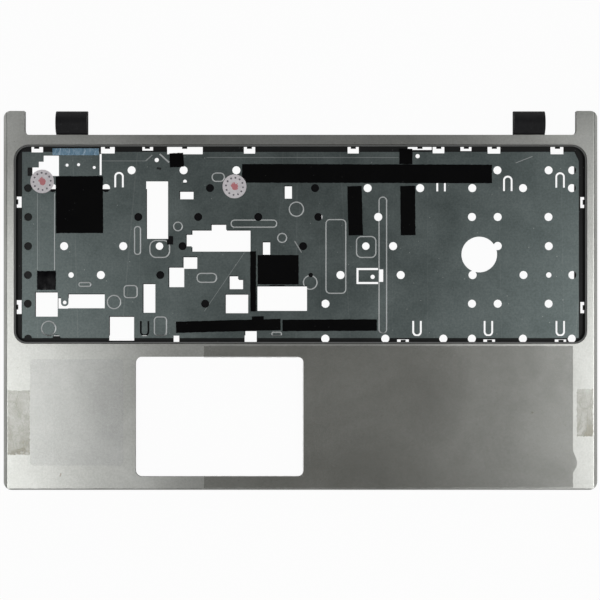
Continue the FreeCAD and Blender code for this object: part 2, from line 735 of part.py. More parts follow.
def relief_holes():
    # Relief holes under the keys, row by row; True where light comes through from below.
    rows = (
        (83.9, ((-108.8, True), (-75.3, True), (-41.3, True), (126.9, True), (159.9, True), (175.1, True))),
        (72.4, ((-125.3, True), (-58.3, False), (9.4, False), (43.3, True), (77.1, True), (110.7, True),
                (143.4, True), (174.9, True), (-159.6, False), (-175.5, False))),
        (53.8, ((-175.4, False), (-104.5, False), (-65.9, False), (-27.2, False), (11.5, False), (50.1, True),
                (110.5, True), (127.1, True), (159.8, True))),
        (35.0, ((-175.5, False), (-152.3, True), (-114.2, True), (-76.0, False), (1.7, False), (59.7, True),
                (160.0, True))),
        (16.4, ((-175.6, False), (-128.6, True), (-90.3, False), (25.8, True), (64.6, True), (143.7, True),
                (175.2, True))),
        (-2.1, ((-175.7, False), (-61.4, False), (16.1, True), (110.5, True), (127.1, True), (159.9, True))),
        (-24.6, ((-175.5, False), (-157.1, False), (16.0, True), (54.7, True), (92.1, True), (110.5, True),
                 (143.4, True), (174.9, True))),
    )
    holes = []
    for row_number, (y, row) in enumerate(rows, start=1):
        y = deep(cell(f"reliefRow{row_number}Place", y, "row of relief holes, from the middle"))
        for number, (x, through) in enumerate(row, start=1):
            alias = f"reliefRow{row_number}Hole{number}"
            x = across(cell(alias, x, "relief hole in that row, from the middle"))
            holes.append((x, y, through))
    return holes


def small_holes():
    # Screw and peg holes: place, radius and whether light comes through.
    places = (
        (-92.6, 90.5, 1.4, True), (-74.4, 76.7, 1.2, True), (75.5, 93.0, 1.4, True), (46.5, 15.2, 1.4, True),
        (-150.4, 87.2, 1.0, True), (-143.0, 87.5, 1.0, True), (-132.9, 85.7, 1.0, True),
        (6.6, 16.4, 1.5, False), (-147.8, 16.4, 1.8, True), (160.0, 16.4, 1.8, True),
        (-90.8, 35.0, 2.45, True), (42.1, 35.0, 2.45, True),
    )
    holes = []
    for number, (x, y, radius, through) in enumerate(places, start=1):
        hole = on_plate(cells(f"smallHole{number}", "small hole", x=x, y=y, radius=radius))
        holes.append((hole["x"], hole["y"], hole["radius"], through))
    return holes


def rear_slits():
    return place_cells("rearSlit", ((-116.9, 72.9), (133.6, 70.5), (167.3, 72.7), (90.6, 70.3)))


def front_slits():
    return place_cells("frontSlit", ((75.1, -13.2), (121.1, -13.2), (167.4, -13.2), (-100.4, -13.2)))


def place_cells(name, places):
    pairs = []
    for number, (x, y) in enumerate(places, start=1):
        place = on_plate(cells(f"{name}{number}", "U-shaped slit, its open end", x=x, y=y))
        pairs.append((place["x"], place["y"]))
    return pairs


def slit_corners(x, y, sign):
    # A U-shaped slit from its open end at y to its bend, towards +Y or -Y.
    half = slit_span / 2
    inner = half - slit_width
    bend = y + slit_length * sign
    inner_bend = bend - slit_width * sign
    corners = [
        (x - half, y, 0),
        (x - inner, y, 0),
        (x - inner, inner_bend, slit_bend - slit_width),
        (x + inner, inner_bend, slit_bend - slit_width),
        (x + inner, y, 0),
        (x + half, y, 0),
        (x + half, bend, slit_bend),
        (x - half, bend, slit_bend),
    ]
    return corners if sign > 0 else corners[::-1]


def round_forms():
    # Round stamped forms: place and radius.
    forms = []
    places = (
        (-78.9, 47.7, 3.2), (-2.6, 58.8, 5.0), (-11.8, 40.3, 3.3), (-120.1, -1.0, 4.7), (-162.2, -18.0, 5.0),
        (6.3, 11.6, 4.8),
    )
    for number, (x, y, radius) in enumerate(places, start=1):
        form = on_plate(cells(f"roundForm{number}", "round stamped form", x=x, y=y, radius=radius))
        forms.append((form["x"], form["y"], form["radius"]))
    return forms


def wide_forms():
    # Long and square stamped forms with sloped sides: sides and corner radius.
    forms = []
    places = (
        (-57.3, -48.6, 76.3, 82.5, 3.0), (-67.0, -53.7, 11.3, 17.9, 3.0), (-94.5, -85.9, -23.0, -10.2, 2.5),
        (-114.0, -104.8, 1.4, 10.0, 2.4), (-45.1, -14.9, 46.8, 52.2, 2.6), (-107.3, -102.6, 29.3, 48.0, 2.2),
        (-97.4, -83.9, 27.3, 39.1, 4.5), (35.7, 49.0, 27.3, 41.6, 3.5), (-143.1, -134.7, 8.7, 11.9, 1.5),
        (16.0, 29.6, 4.2, 52.5, 3.0), (50.2, 55.9, -21.4, 67.0, 2.7), (-18.8, -11.9, -23.0, -20.0, 1.3),
    )
    for number, (left, right, low, high, corner) in enumerate(places, start=1):
        name = f"wideForm{number}"
        form = cells(name, "stamped form", left=left, right=right, front=low, rear=high, corner=corner)
        form = on_plate(form)
        short_share = deep_share if high - low < right - left else across_share
        form["corner"] = form["corner"] * short_share
        forms.append(form)
    return forms


def narrow_forms():
    # Narrow beads and frames with upright sides.
    places = (
        (-169.1, -158.3, 19.6, 68.8), (7.0, 9.4, -4.0, 3.0), (-4.0, -1.8, -11.6, -7.4),
        (1.8, 4.0, -11.6, -7.4), (-0.4, 1.2, 13.4, 31.0),
    )
    forms = []
    for number, (left, right, low, high) in enumerate(places, start=1):
        name = f"narrowForm{number}"
        form = cells(name, "narrow stamped form", left=left, right=right, front=low, rear=high)
        forms.append(on_plate(form))
    return forms


def punches(name, places, base, height):
    # Cutters for the holes that repeat, with twelve sides each so that the plate stays light to draw.
    cutters = []
    for number, (x, y, radius) in enumerate(places, start=1):
        cutter = doc.addObject("Part::Prism", f"{name}_{number}")
        cutter.Polygon = 12
        cutter.setExpression("Circumradius", radius.text)
        cutter.setExpression("Height", height.text)
        cutter.setExpression("Placement.Base.x", x.text)
        cutter.setExpression("Placement.Base.y", y.text)
        cutter.setExpression("Placement.Base.z", base.text)
        cutters.append(cutter)
    group = doc.addObject("Part::Compound", name)
    group.Links = cutters
    return group


def punched(name, blank, cutters):
    piece = doc.addObject("Part::Cut", name)
    piece.Label = name
    piece.Base = blank
    piece.Tool = cutters
    return piece


def make_keyboard_plate(windows, joined, reliefs, holes, notches, circle_window):
    body = new_body("plate_blank")
    plan = new_sketch(body, "blank_plan", plate_under)
    outline(plan, [
        (-plate_side, plate_front, 0),
        (plate_side, plate_front, 0),
        (plate_side, plate_rear - plate_clip_y, 0),
        (plate_side - plate_clip_x, plate_rear, 0),
        (-plate_side, plate_rear, 0),
    ])
    pad(body, "blank", plan, plate_thickness)

    rounds = round_forms()
    wide = wide_forms()
    plan = new_sketch(body, "form_plan", plate_top)
    for x, y, radius in rounds:
        circle(plan, x, y, radius)
    for form in wide:
        rectangle(plan, form["left"], form["right"], form["front"], form["rear"], form["corner"])
    pad(body, "stamped_forms", plan, form_height, form_slope)

    plan = new_sketch(body, "narrow_form_plan", plate_top)
    for form in narrow_forms():
        rectangle(plan, form["left"], form["right"], form["front"], form["rear"])
    pad(body, "narrow_forms", plan, form_height)

    plan = new_sketch(body, "form_hollow_plan", plate_under + form_height)
    for x, y, radius in rounds:
        circle(plan, x, y, radius - form_inset)
    for form in wide:
        rectangle(
            plan,
            form["left"] + form_inset,
            form["right"] - form_inset,
            form["front"] + form_inset,
            form["rear"] - form_inset,
        )
    pocket(body, "form_hollows", plan, form_height)

    cut_depth = plate_thickness + form_height
    cut_top = plate_top + form_height
    plan = new_sketch(body, "window_plan", cut_top)
    for form in windows.values():
        rectangle(plan, form["left"], form["right"], form["front"], form["rear"])
    circle(plan, circle_window["x"], circle_window["y"], circle_window["radius"])
    pocket(body, "windows", plan, cut_depth)

    plan = new_sketch(body, "joined_window_plan", cut_top)
    for form in joined.values():
        rectangle(plan, form["left"], form["right"], form["front"], form["rear"])
    step = window("windowCornerLeft", -175.8, -165.4, 80.2, 89.4)
    step_x = across(cell("windowCornerStepX", -168.6, "stepped corner window, where it steps, along X"))
    step_y = deep(cell("windowCornerStepY", 85.7, "stepped corner window, where it steps, along Y"))
    outline(plan, [
        (step["left"], step["front"], 0),
        (step["right"], step["front"], 0),
        (step["right"], step["rear"], 0),
        (step_x, step["rear"], 0),
        (step_x, step_y, 0),
        (step["left"], step_y, 0),
    ])
    for number, (x, y) in enumerate(((127.1, 35.1), (110.9, 16.4)), start=1):
        lobe = on_plate(cells(f"lobe{number}", "lobe of the round window", x=x, y=y))
        circle(plan, lobe["x"], lobe["y"], relief_radius)
    pocket(body, "joined_windows", plan, cut_depth)

    plan = new_sketch(body, "slit_plan", cut_top)
    for x, y in rear_slits():
        outline(plan, slit_corners(x, y, 1))
    for x, y in front_slits():
        outline(plan, slit_corners(x, y, -1))
    pocket(body, "u_slits", plan, cut_depth)

    plan = new_sketch(body, "edge_notch_plan", cut_top)
    for wall, run in notches:
        if wall == "rear" and run["reach"].value > plate_gap_rear.value:
            rectangle(plan, *notch_box(wall, run, run["reach"]))
    pocket(body, "edge_notches", plan, cut_depth)

    finger = on_plate(cells("finger", "finger in the left window", x=-151.9, y=-1.3, radius=2.4, bore=1.2))
    rounding = finger["radius"] * 0.95
    finger_root = joined["leftLink"]["rear"] + rooting
    plan = new_sketch(body, "finger_plan", plate_under)
    outline(plan, [
        (finger["x"] - finger["radius"], finger["y"] - finger["radius"], rounding),
        (finger["x"] + finger["radius"], finger["y"] - finger["radius"], rounding),
        (finger["x"] + finger["radius"], finger_root, 0),
        (finger["x"] - finger["radius"], finger_root, 0),
    ])
    pad(body, "finger", plan, plate_thickness)
    plan = new_sketch(body, "finger_hole_plan", plate_top)
    circle(plan, finger["x"], finger["y"], finger["bore"])
    pocket(body, "finger_hole", plan, plate_thickness)

    places = [(x, y, relief_radius) for x, y, through in reliefs]
    places += [(x, y, radius) for x, y, radius, through in holes]
    return punched("keyboard_plate", body, punches("plate_punches", places, plate_under, cut_depth))


# Insulating sheet under the plate

def make_insulator(windows, joined, reliefs, holes):
    body = new_body("insulator_blank")
    left = ledge_left + insulator_play
    low = ledge_front + insulator_play
    right = across(insulator_right)
    high = deep(insulator_rear)
    step_x = across(insulator_step_x)
    plan = new_sketch(body, "insulator_plan", insulator_under)
    outline(plan, [
        (left, low, ledge_corner),
        (right, low, 0),
        (right, high + insulator_step, 0),
        (step_x, high + insulator_step, 0),
        (step_x, high, 0),
        (left, high, 0),
    ])
    pad(body, "sheet", plan, insulator_thickness)

    show = insulator_show
    plan = new_sketch(body, "sheet_window_plan", plate_under)
    names = ("small", "tab", "wide", "stepRear", "post", "cell", "card", "upright", "drive", "leftLong")
    for name in names + ("tall", "leftLarge", "square", "front"):
        form = windows[name]
        rectangle(plan, form["left"] + show, form["right"], form["front"], form["rear"] - show)
    pocket(body, "sheet_windows", plan, insulator_thickness)

    plan = new_sketch(body, "sheet_step_plan", plate_under)
    for name in ("wideLeft", "wideBump", "stepFront", "cellStep", "leftLink"):
        form = joined[name]
        rectangle(plan, form["left"] + show, form["right"] + show, form["front"] - show, form["rear"] - show)
    pocket(body, "sheet_steps", plan, insulator_thickness)

    lit = [(x, y, relief_radius + insulator_play) for x, y, through in reliefs if through]
    lit += [(x, y, radius + insulator_play) for x, y, radius, through in holes if through]
    inside = [
        (x, y, radius)
        for x, y, radius in lit
        if left.value < x.value < right.value and low.value < y.value < high.value
    ]
    cutters = punches("insulator_punches", inside, insulator_under, insulator_thickness)
    return punched("insulator_sheet", body, cutters)


# Hinge caps: half-round covers behind the rear bar

def cap_profile(sketch, inset, low):
    # The barrel's section: back wall on the bar, round crown, straight rear.
    centre_y = rear - cap_radius
    radius = cap_radius - inset
    wall = bar_rear + inset
    reach = wall.value - centre_y.value
    rise = math.sqrt(radius.value ** 2 - reach ** 2)
    start = FreeCAD.Vector(wall.value, low.value, 0)
    shoulder = FreeCAD.Vector(wall.value, cap_axis_height.value + rise, 0)
    back = FreeCAD.Vector(centre_y.value + radius.value, cap_axis_height.value, 0)
    foot = FreeCAD.Vector(centre_y.value + radius.value, low.value, 0)
    front_line = sketch.add(Part.LineSegment(start, shoulder))
    middle = FreeCAD.Vector(centre_y.value, cap_axis_height.value, 0)
    barrel = Part.Circle(middle, FreeCAD.Vector(0, 0, 1), radius.value)
    crown = sketch.add(Part.ArcOfCircle(barrel, 0, math.atan2(rise, reach)))
    rear_line = sketch.add(Part.LineSegment(back, foot))
    base_line = sketch.add(Part.LineSegment(foot, start))
    sketch.rule("Coincident", front_line, 2, crown, 2)
    sketch.rule("Coincident", rear_line, 1, crown, 1)
    sketch.rule("Coincident", rear_line, 2, base_line, 1)
    sketch.rule("Coincident", base_line, 2, front_line, 1)
    sketch.rule("Vertical", front_line)
    sketch.rule("Vertical", rear_line)
    sketch.rule("Horizontal", base_line)
    sketch.datum("DistanceX", (crown, 3), centre_y)
    sketch.datum("DistanceY", (crown, 3), cap_axis_height)
    sketch.datum("Radius", (crown,), radius)
    sketch.datum("DistanceX", (front_line, 1), wall)
    sketch.datum("DistanceY", (base_line, 1), low)
    sketch.datum("DistanceY", (rear_line, 1), cap_axis_height)


def make_hinge_cap(name, sign):
    body = new_body(name)
    centre = cap_centre * sign
    section = new_sketch(body, name + "_section", centre, "YZ_Plane")
    cap_profile(section, as_size(0), cap_lift)
    shell = pad(body, name + "_barrel", section, cap_width)
    shell.Midplane = True

    section = new_sketch(body, name + "_hollow_section", centre, "YZ_Plane")
    cap_profile(section, cap_wall, cap_lift)
    hollow = pocket(body, name + "_hollow", section, cap_width - cap_wall * 2)
    hollow.Midplane = True

    tabs = new_sketch(body, name + "_tab_plan", tab_lift)
    for x in cap_tabs(centre):
        rectangle(
            tabs,
            x - tab_width / 2,
            x + tab_width / 2,
            bar_rear - cover_wall - tab_end,
            bar_rear + cap_wall / 2,
        )
    pad(body, name + "_tabs", tabs, tab_height)
    return body


# Threaded inserts in the screw bosses

def make_inserts():
    rings = []
    for number, (x, y) in enumerate(corner_screws() + palm_screws(), start=1):
        outer = doc.addObject("Part::Prism", f"insert_outer_{number}")
        outer.Polygon = 16
        outer.setExpression("Circumradius", insert_radius.text)
        outer.setExpression("Height", insert_length.text)
        bore = doc.addObject("Part::Cylinder", f"insert_bore_{number}")
        bore.setExpression("Radius", insert_bore.text)
        bore.setExpression("Height", insert_length.text)
        for solid in (outer, bore):
            solid.setExpression("Placement.Base.x", x.text)
            solid.setExpression("Placement.Base.y", y.text)
            solid.setExpression("Placement.Base.z", boss_lift.text)
        ring = doc.addObject("Part::Cut", f"insert_ring_{number}")
        ring.Base = outer
        ring.Tool = bore
        rings.append(ring)
    group = doc.addObject("Part::Compound", "brass_inserts")
    group.Label = "brass_inserts"
    group.Links = rings
    return group


# Tapes, stickers and films

def lay_strip(name, x, y, length, width, angle, thickness, level):
    # A flat strip laid on the plate or the deck, turned about its middle.
    tape = doc.addObject("Part::Box", name)
    tape.Label = name
    tape.setExpression("Length", length.text)
    tape.setExpression("Width", width.text)
    tape.setExpression("Height", thickness.text)
    turn = FreeCAD.Rotation(FreeCAD.Vector(0, 0, 1), angle.value)
    corner = turn.multVec(FreeCAD.Vector(-length.value / 2, -width.value / 2, 0))
    middle = FreeCAD.Vector(x.value, y.value, level.value)
    tape.Placement = FreeCAD.Placement(middle + corner, turn)
    return tape


def make_tape(name, x, y, length, width, angle):
    note = name.replace("_", " ")
    strip = cells(name.replace("_", ""), note, x=x, y=y, length=length, width=width, angle=angle)
    middle = on_plate({"x": strip["x"], "y": strip["y"]})
    long = strip["length"] * across_share
    wide = strip["width"] * deep_share
    return lay_strip(name, middle["x"], middle["y"], long, wide, strip["angle"], tape_thickness, plate_top)


def make_clear_tape(name, sign, from_side, from_front, length, width):
    note = name.replace("_", " ")
    strip = cells(name.replace("_", ""), note, side=from_side, front=from_front, length=length, width=width)
    x = (side - strip["side"]) * sign
    y = front + strip["front"]
    return lay_strip(name, x, y, strip["length"], strip["width"], as_size(0), film_thickness, cover_height)


def make_bumped_tape(name, bump_name):
    main = make_tape(name + "_strip", -46.5, -16.4, 67.4, 7.3, 1.5)
    bump = make_tape(bump_name, -26.8, -13.0, 8.8, 4.4, 1.5)
    joined = doc.addObject("Part::MultiFuse", name)
    joined.Label = name
    joined.Shapes = [main, bump]
    joined.Refine = True
    return joined


def make_wrap_film():
    # A short strip of film that bows up over the edge of the left window.
    wrap = cells("wrapFilm", "wrap film", left=-169.7, right=-157.6, front=6.8, rear=19.0, crown=0.4)
    wrap = on_plate(wrap)
    body = new_body("tape_wrap_left")
    section = new_sketch(body, "wrap_section", wrap["left"], "YZ_Plane")
    middle = (wrap["front"] + wrap["rear"]) / 2
    low = plate_top
    high = plate_top + tape_thickness
    points = [
        FreeCAD.Vector(wrap["front"].value, low.value, 0),
        FreeCAD.Vector(middle.value, (low + wrap["crown"]).value, 0),
        FreeCAD.Vector(wrap["rear"].value, low.value, 0),
        FreeCAD.Vector(wrap["rear"].value, high.value, 0),
        FreeCAD.Vector(middle.value, (high + wrap["crown"]).value, 0),
        FreeCAD.Vector(wrap["front"].value, high.value, 0),
    ]
    section.add(Part.Arc(points[0], points[1], points[2]))
    section.add(Part.LineSegment(points[2], points[3]))
    section.add(Part.Arc(points[3], points[4], points[5]))
    section.add(Part.LineSegment(points[5], points[0]))
    pad(body, "wrap_strip", section, wrap["right"] - wrap["left"])
    return body


def make_sticker(name, x, y, radius, level):
    disc = on_plate(cells(name.replace("_", ""), name.replace("_", " "), x=x, y=y, radius=radius))
    sticker = doc.addObject("Part::Cylinder", name)
    sticker.Label = name
    sticker.setExpression("Radius", disc["radius"].text)
    sticker.setExpression("Height", sticker_thickness.text)
    sticker.setExpression("Placement.Base.x", disc["x"].text)
    sticker.setExpression("Placement.Base.y", disc["y"].text)
    sticker.setExpression("Placement.Base.z", level.text)
    return sticker


def make_blue_liner():
    liner = cells(
        "liner", "blue liner", left=-159.7, right=-129.9, front=93.6, rear=98.0, thickness=0.2, fold=0.5
    )
    liner = on_plate(liner)
    half = cell("linerFoldWidth", 0.8, "blue liner, width of a fold") / 2
    body = new_body("blue_liner")
    plan = new_sketch(body, "liner_plan", plate_top)
    rectangle(plan, liner["left"], liner["right"], liner["front"], liner["rear"])
    pad(body, "liner_strip", plan, liner["thickness"])
    plan = new_sketch(body, "liner_fold_plan", plate_top)
    for number, x in enumerate((-156.0, -149.8, -139.9, -133.3), start=1):
        x = across(cell(f"linerFold{number}", x, "fold of the blue liner, place"))
        rectangle(plan, x - half, x + half, liner["front"], liner["rear"])
    pad(body, "liner_folds", plan, liner["fold"])
    return body


def make_palm_film():
    # Clear film left on the palm area, cut out round the touchpad opening.
    film = cells("palmFilm", "clear film, inset", left=44.0, right=16.0, front=1.45, rear=2.5, margin=1.0)
    body = new_body("palm_film")
    left = pad_left + film["left"]
    right = side - film["right"]
    low = front + film["front"]
    high = well_front - film["rear"]
    pad_side = pad_right + film["margin"]
    pad_low = pad_front_edge - film["margin"]
    pad_high = pad_rear_edge + film["margin"]
    plan = new_sketch(body, "film_plan", cover_height)
    outline(plan, [
        (left, low, 0),
        (right, low, 0),
        (right, high, 0),
        (left, high, 0),
        (left, pad_high, 0),
        (pad_side, pad_high, 0),
        (pad_side, pad_low, 0),
        (left, pad_low, 0),
    ])
    pad(body, "film", plan, film_thickness)
    return body


def make_film_patch():
    patch = cells("filmPatch", "clear patch, inset", side=17.4, pad=7.7, front=15.75, rear=11.0, corner=2.5)
    left = -side + patch["side"]
    right = pad_left - patch["pad"]
    low = front + patch["front"]
    high = well_front - patch["rear"]
    body = new_body("film_patch_left")
    plan = new_sketch(body, "patch_plan", cover_height)
    rectangle(plan, left, right, low, high, patch["corner"])
    pad(body, "patch", plan, film_thickness)
    return body


stakes = stake_places()
notches = edge_notches()
windows = main_windows()
joined = joined_windows()
reliefs = relief_holes()
holes = small_holes()
round_window = on_plate(cells("roundWindow", "round window", x=115.2, y=29.6, radius=11.5))

ledge_cuts = [windows[name] for name in ("square", "frontSmall", "front")]
ledge_holes = [(x, y, relief_radius) for x, y, through in reliefs if through and y.value < ledge_front.value]
ledge_holes += [(x, y, radius) for x, y, radius, through in holes if (y + radius).value > ledge_rear.value]

pieces = [
    make_top_cover(stakes),
    make_well_frame(stakes, notches, ledge_cuts, ledge_holes),
    make_keyboard_plate(windows, joined, reliefs, holes, notches, round_window),
    make_insulator(windows, joined, reliefs, holes),
    make_hinge_cap("hinge_cap_left", -1),
    make_hinge_cap("hinge_cap_right", 1),
    make_inserts(),
    make_tape("tape_rear_long", 42.9, 81.7, 161.0, 12.0, -0.15),
    make_tape("tape_rear_tab", 67.9, 92.8, 8.4, 9.9, 0.0),
    make_tape("tape_strip_centre", 35.2, 57.8, 9.25, 31.7, 1.5),
    make_tape("tape_strip_right", 69.2, 57.9, 9.5, 31.8, 0.5),
    make_tape("tape_square_left", -142.4, 61.75, 30.4, 36.7, 0.3),
    make_tape("tape_square_rear", -79.75, 90.45, 8.9, 9.1, 3.0),
    make_tape("tape_square_centre", -14.4, 19.8, 26.4, 19.0, 0.0),
    make_tape("tape_bar_centre", -30.45, 12.25, 3.7, 38.7, 0.0),
    make_bumped_tape("tape_front_left", "tape_front_left_bump"),
    make_tape("tape_front_right", 18.8, -15.95, 60.8, 7.4, 0.3),
    make_wrap_film(),
    make_sticker("inspection_sticker_left", -166.4, 76.7, 7.6, plate_top),
    make_sticker("inspection_sticker_centre", -42.5, 73.5, 7.7, plate_top + tape_thickness),
    make_blue_liner(),
    make_palm_film(),
    make_film_patch(),
    make_clear_tape("clear_tape_left", -1, 10.1, 43.25, 14.2, 41.3),
    make_clear_tape("clear_tape_right", 1, 8.3, 49.65, 10.4, 30.4),
]

doc.recompute()

failed = [item.Name for item in doc.Objects if "Invalid" in item.State or "Error" in item.State]
if failed:
    raise RuntimeError(f"could not be worked out: {failed}")
for piece in pieces:
    if not piece.Shape.Solids:
        raise RuntimeError(f"{piece.Label} has no solid")

os.makedirs("parts", exist_ok=True)
for piece in pieces:
    piece.Shape.exportStep(f"parts/{piece.Label}.step")
    box = piece.Shape.BoundBox
    print(
        f"{piece.Label}: {len(piece.Shape.Solids)} solid, {piece.Shape.Volume:.1f} mm3, "
        f"x {box.XMin:.2f} {box.XMax:.2f}, y {box.YMin:.2f} {box.YMax:.2f}, z {box.ZMin:.2f} {box.ZMax:.2f}"
    )
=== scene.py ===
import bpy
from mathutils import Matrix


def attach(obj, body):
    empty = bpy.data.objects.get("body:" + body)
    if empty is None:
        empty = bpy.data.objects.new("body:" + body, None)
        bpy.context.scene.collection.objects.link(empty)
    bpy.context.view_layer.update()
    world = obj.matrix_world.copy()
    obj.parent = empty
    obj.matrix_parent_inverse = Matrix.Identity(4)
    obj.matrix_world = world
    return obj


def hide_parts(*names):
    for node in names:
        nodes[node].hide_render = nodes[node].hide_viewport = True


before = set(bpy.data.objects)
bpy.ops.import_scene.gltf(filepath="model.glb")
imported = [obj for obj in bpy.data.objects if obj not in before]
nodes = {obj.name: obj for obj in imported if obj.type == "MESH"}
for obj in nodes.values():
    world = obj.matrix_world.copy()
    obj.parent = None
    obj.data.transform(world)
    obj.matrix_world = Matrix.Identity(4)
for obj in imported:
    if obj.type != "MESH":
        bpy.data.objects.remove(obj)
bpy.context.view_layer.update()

import math
import bpy

print("frame loaded:", len(nodes), "nodes")


# Material helpers: one material is a shader fed by a few texture nodes on Object coordinates

def startMaterial(name, metallic=0.0, roughness=0.5, **sockets):
    material = bpy.data.materials.new(name)
    material.use_nodes = True
    tree = material.node_tree
    shader = tree.nodes["Principled BSDF"]
    shader.inputs["Metallic"].default_value = metallic
    shader.inputs["Roughness"].default_value = roughness
    for socket, value in sockets.items():
        shader.inputs[socket.replace("_", " ")].default_value = value
    return material, tree, shader


def place(tree, shift=(0, 0, 0), turn=0.0, stretch=(1, 1, 1)):
    # Object coordinates in metres, shifted, turned about Z and stretched
    coords = tree.nodes.new("ShaderNodeTexCoord")
    mapping = tree.nodes.new("ShaderNodeMapping")
    mapping.inputs["Location"].default_value = shift
    mapping.inputs["Rotation"].default_value = (0, 0, turn)
    mapping.inputs["Scale"].default_value = stretch
    tree.links.new(coords.outputs["Object"], mapping.inputs["Vector"])
    return mapping.outputs["Vector"]


def noise(tree, vector, scale, detail=4.0, rough=0.55, distortion=0.0):
    node = tree.nodes.new("ShaderNodeTexNoise")
    node.inputs["Scale"].default_value = scale
    node.inputs["Detail"].default_value = detail
    node.inputs["Roughness"].default_value = rough
    node.inputs["Distortion"].default_value = distortion
    tree.links.new(vector, node.inputs["Vector"])
    return node.outputs["Fac"]


def cells(tree, vector, scale, feature="F1"):
    node = tree.nodes.new("ShaderNodeTexVoronoi")
    node.feature = feature
    node.inputs["Scale"].default_value = scale
    tree.links.new(vector, node.inputs["Vector"])
    return node.outputs["Distance"]


def waves(tree, vector, scale, distortion=0.0, direction="X"):
    node = tree.nodes.new("ShaderNodeTexWave")
    node.bands_direction = direction
    node.inputs["Scale"].default_value = scale
    node.inputs["Distortion"].default_value = distortion
    tree.links.new(vector, node.inputs["Vector"])
    return node.outputs["Fac"]


def ramp(tree, factor, *stops):
    # Stops are (position, grey value or colour)
    node = tree.nodes.new("ShaderNodeValToRGB")
    band = node.color_ramp
    while len(band.elements) < len(stops):
        band.elements.new(0.5)
    for element, (position, colour) in zip(band.elements, stops):
        element.position = position
        element.color = (colour, colour, colour, 1) if isinstance(colour, (int, float)) else (*colour, 1)
    tree.links.new(factor, node.inputs["Fac"])
    return node.outputs["Color"]


def blend(tree, factor, low, high, way="MIX"):
    node = tree.nodes.new("ShaderNodeMix")
    node.data_type = "RGBA"
    node.blend_type = way
    sockets = (node.inputs["Factor"], node.inputs[6], node.inputs[7])
    for socket, value in zip(sockets, (factor, low, high)):
        if isinstance(value, bpy.types.NodeSocket):
            tree.links.new(value, socket)
        elif isinstance(value, (int, float)):
            socket.default_value = value
        else:
            socket.default_value = (*value, 1)
    return node.outputs[2]


def sums(tree, way, first, second=None):
    node = tree.nodes.new("ShaderNodeMath")
    node.operation = way
    for socket, value in zip(node.inputs, (first, second)):
        if isinstance(value, bpy.types.NodeSocket):
            tree.links.new(value, socket)
        elif value is not None:
            socket.default_value = value
    return node.outputs[0]


def times(tree, first, second):
    return sums(tree, "MULTIPLY", first, second)


def distance(tree, across, along):
    # Length of a flat step
    return sums(tree, "SQRT", sums(tree, "ADD", times(tree, across, across), times(tree, along, along)))


def axisOf(tree, vector, axis):
    node = tree.nodes.new("ShaderNodeSeparateXYZ")
    tree.links.new(vector, node.inputs[0])
    return node.outputs[axis]


def relief(tree, height, strength, distance, after=None):
    node = tree.nodes.new("ShaderNodeBump")
    node.inputs["Strength"].default_value = strength
    node.inputs["Distance"].default_value = distance
    tree.links.new(height, node.inputs["Height"])
    if after is not None:
        tree.links.new(after, node.inputs["Normal"])
    return node.outputs["Normal"]


def feed(tree, shader, **outputs):
    for socket, output in outputs.items():
        tree.links.new(output, shader.inputs[socket.replace("_", " ")])


def between(tree, factor, start, end, low, high):
    # From one colour to the other while the factor goes from start to end
    return blend(tree, ramp(tree, factor, (start, 0.0), (end, 1.0)), low, high)


def seenDirectly(tree):
    # 1 for rays of the camera, also through clear film
    light = tree.nodes.new("ShaderNodeLightPath")
    return sums(tree, "MAXIMUM", light.outputs["Is Camera Ray"], light.outputs["Is Transmission Ray"])


def speckles(tree, vector, scale, size):
    # Small round specks, 1 inside a speck
    return ramp(tree, cells(tree, vector, scale), (0.0, 1.0), (size, 0.0))


def dusted(tree, colour, dust):
    # Lays small specks over a colour
    specks = speckles(tree, place(tree, dust["shift"]), dust["scale"], dust["size"])
    return blend(tree, specks, colour, dust["colour"])


def scratches(tree, turn, spread, width, seedShift):
    # Fine lines: the edges of very long cells
    vector = place(tree, (seedShift, 0, 0), turn, (spread, spread * 0.03, spread))
    edge = cells(tree, vector, 1.0, "DISTANCE_TO_EDGE")
    return ramp(tree, edge, (0.0, 1.0), (width, 0.0))


def straightMark(tree, start, end, width):
    # A straight mark between two places, 1 on the mark
    angle = math.atan2(end[1] - start[1], end[0] - start[0])
    middle = ((start[0] + end[0]) / 2, (start[1] + end[1]) / 2)
    shiftAlong = -math.cos(angle) * middle[0] - math.sin(angle) * middle[1]
    shiftAside = math.sin(angle) * middle[0] - math.cos(angle) * middle[1]
    vector = place(tree, (shiftAlong, shiftAside, 0), -angle)
    along = sums(tree, "ABSOLUTE", axisOf(tree, vector, "X"))
    aside = sums(tree, "ABSOLUTE", axisOf(tree, vector, "Y"))
    inLength = sums(tree, "LESS_THAN", along, math.dist(start, end) / 2)
    inWidth = sums(tree, "LESS_THAN", aside, width / 2)
    return times(tree, inLength, inWidth)


def dress(piece, material):
    piece.data.materials.clear()
    piece.data.materials.append(material)


# Silver cover: satin metallic paint, smudged, with fine scratches and dust

silverFinish = {
    "dark": (0.415, 0.422, 0.398),
    "light": (0.555, 0.562, 0.535),
    "roughness": 0.32,
    "grain": 2600.0,
    "mottle": 780.0,
    "smudge": 14.0,
    "dust": {"colour": (0.16, 0.15, 0.13), "shift": (3.1, 0.4, 0), "scale": 140.0, "size": 0.055},
    "lint": {"colour": (0.85, 0.85, 0.83), "shift": (7.7, 2.4, 0), "scale": 75.0, "size": 0.03},
    "scratch": (0.78, 0.78, 0.76),
    "brown": (0.20, 0.15, 0.11),
    "brownStrength": 0.55,
    "brownMarks": (
        ((-0.1544, -0.1131), (-0.1538, -0.1110), 0.0009),
        ((0.1484, -0.0718), (0.1494, -0.0721), 0.0010),
    ),
}


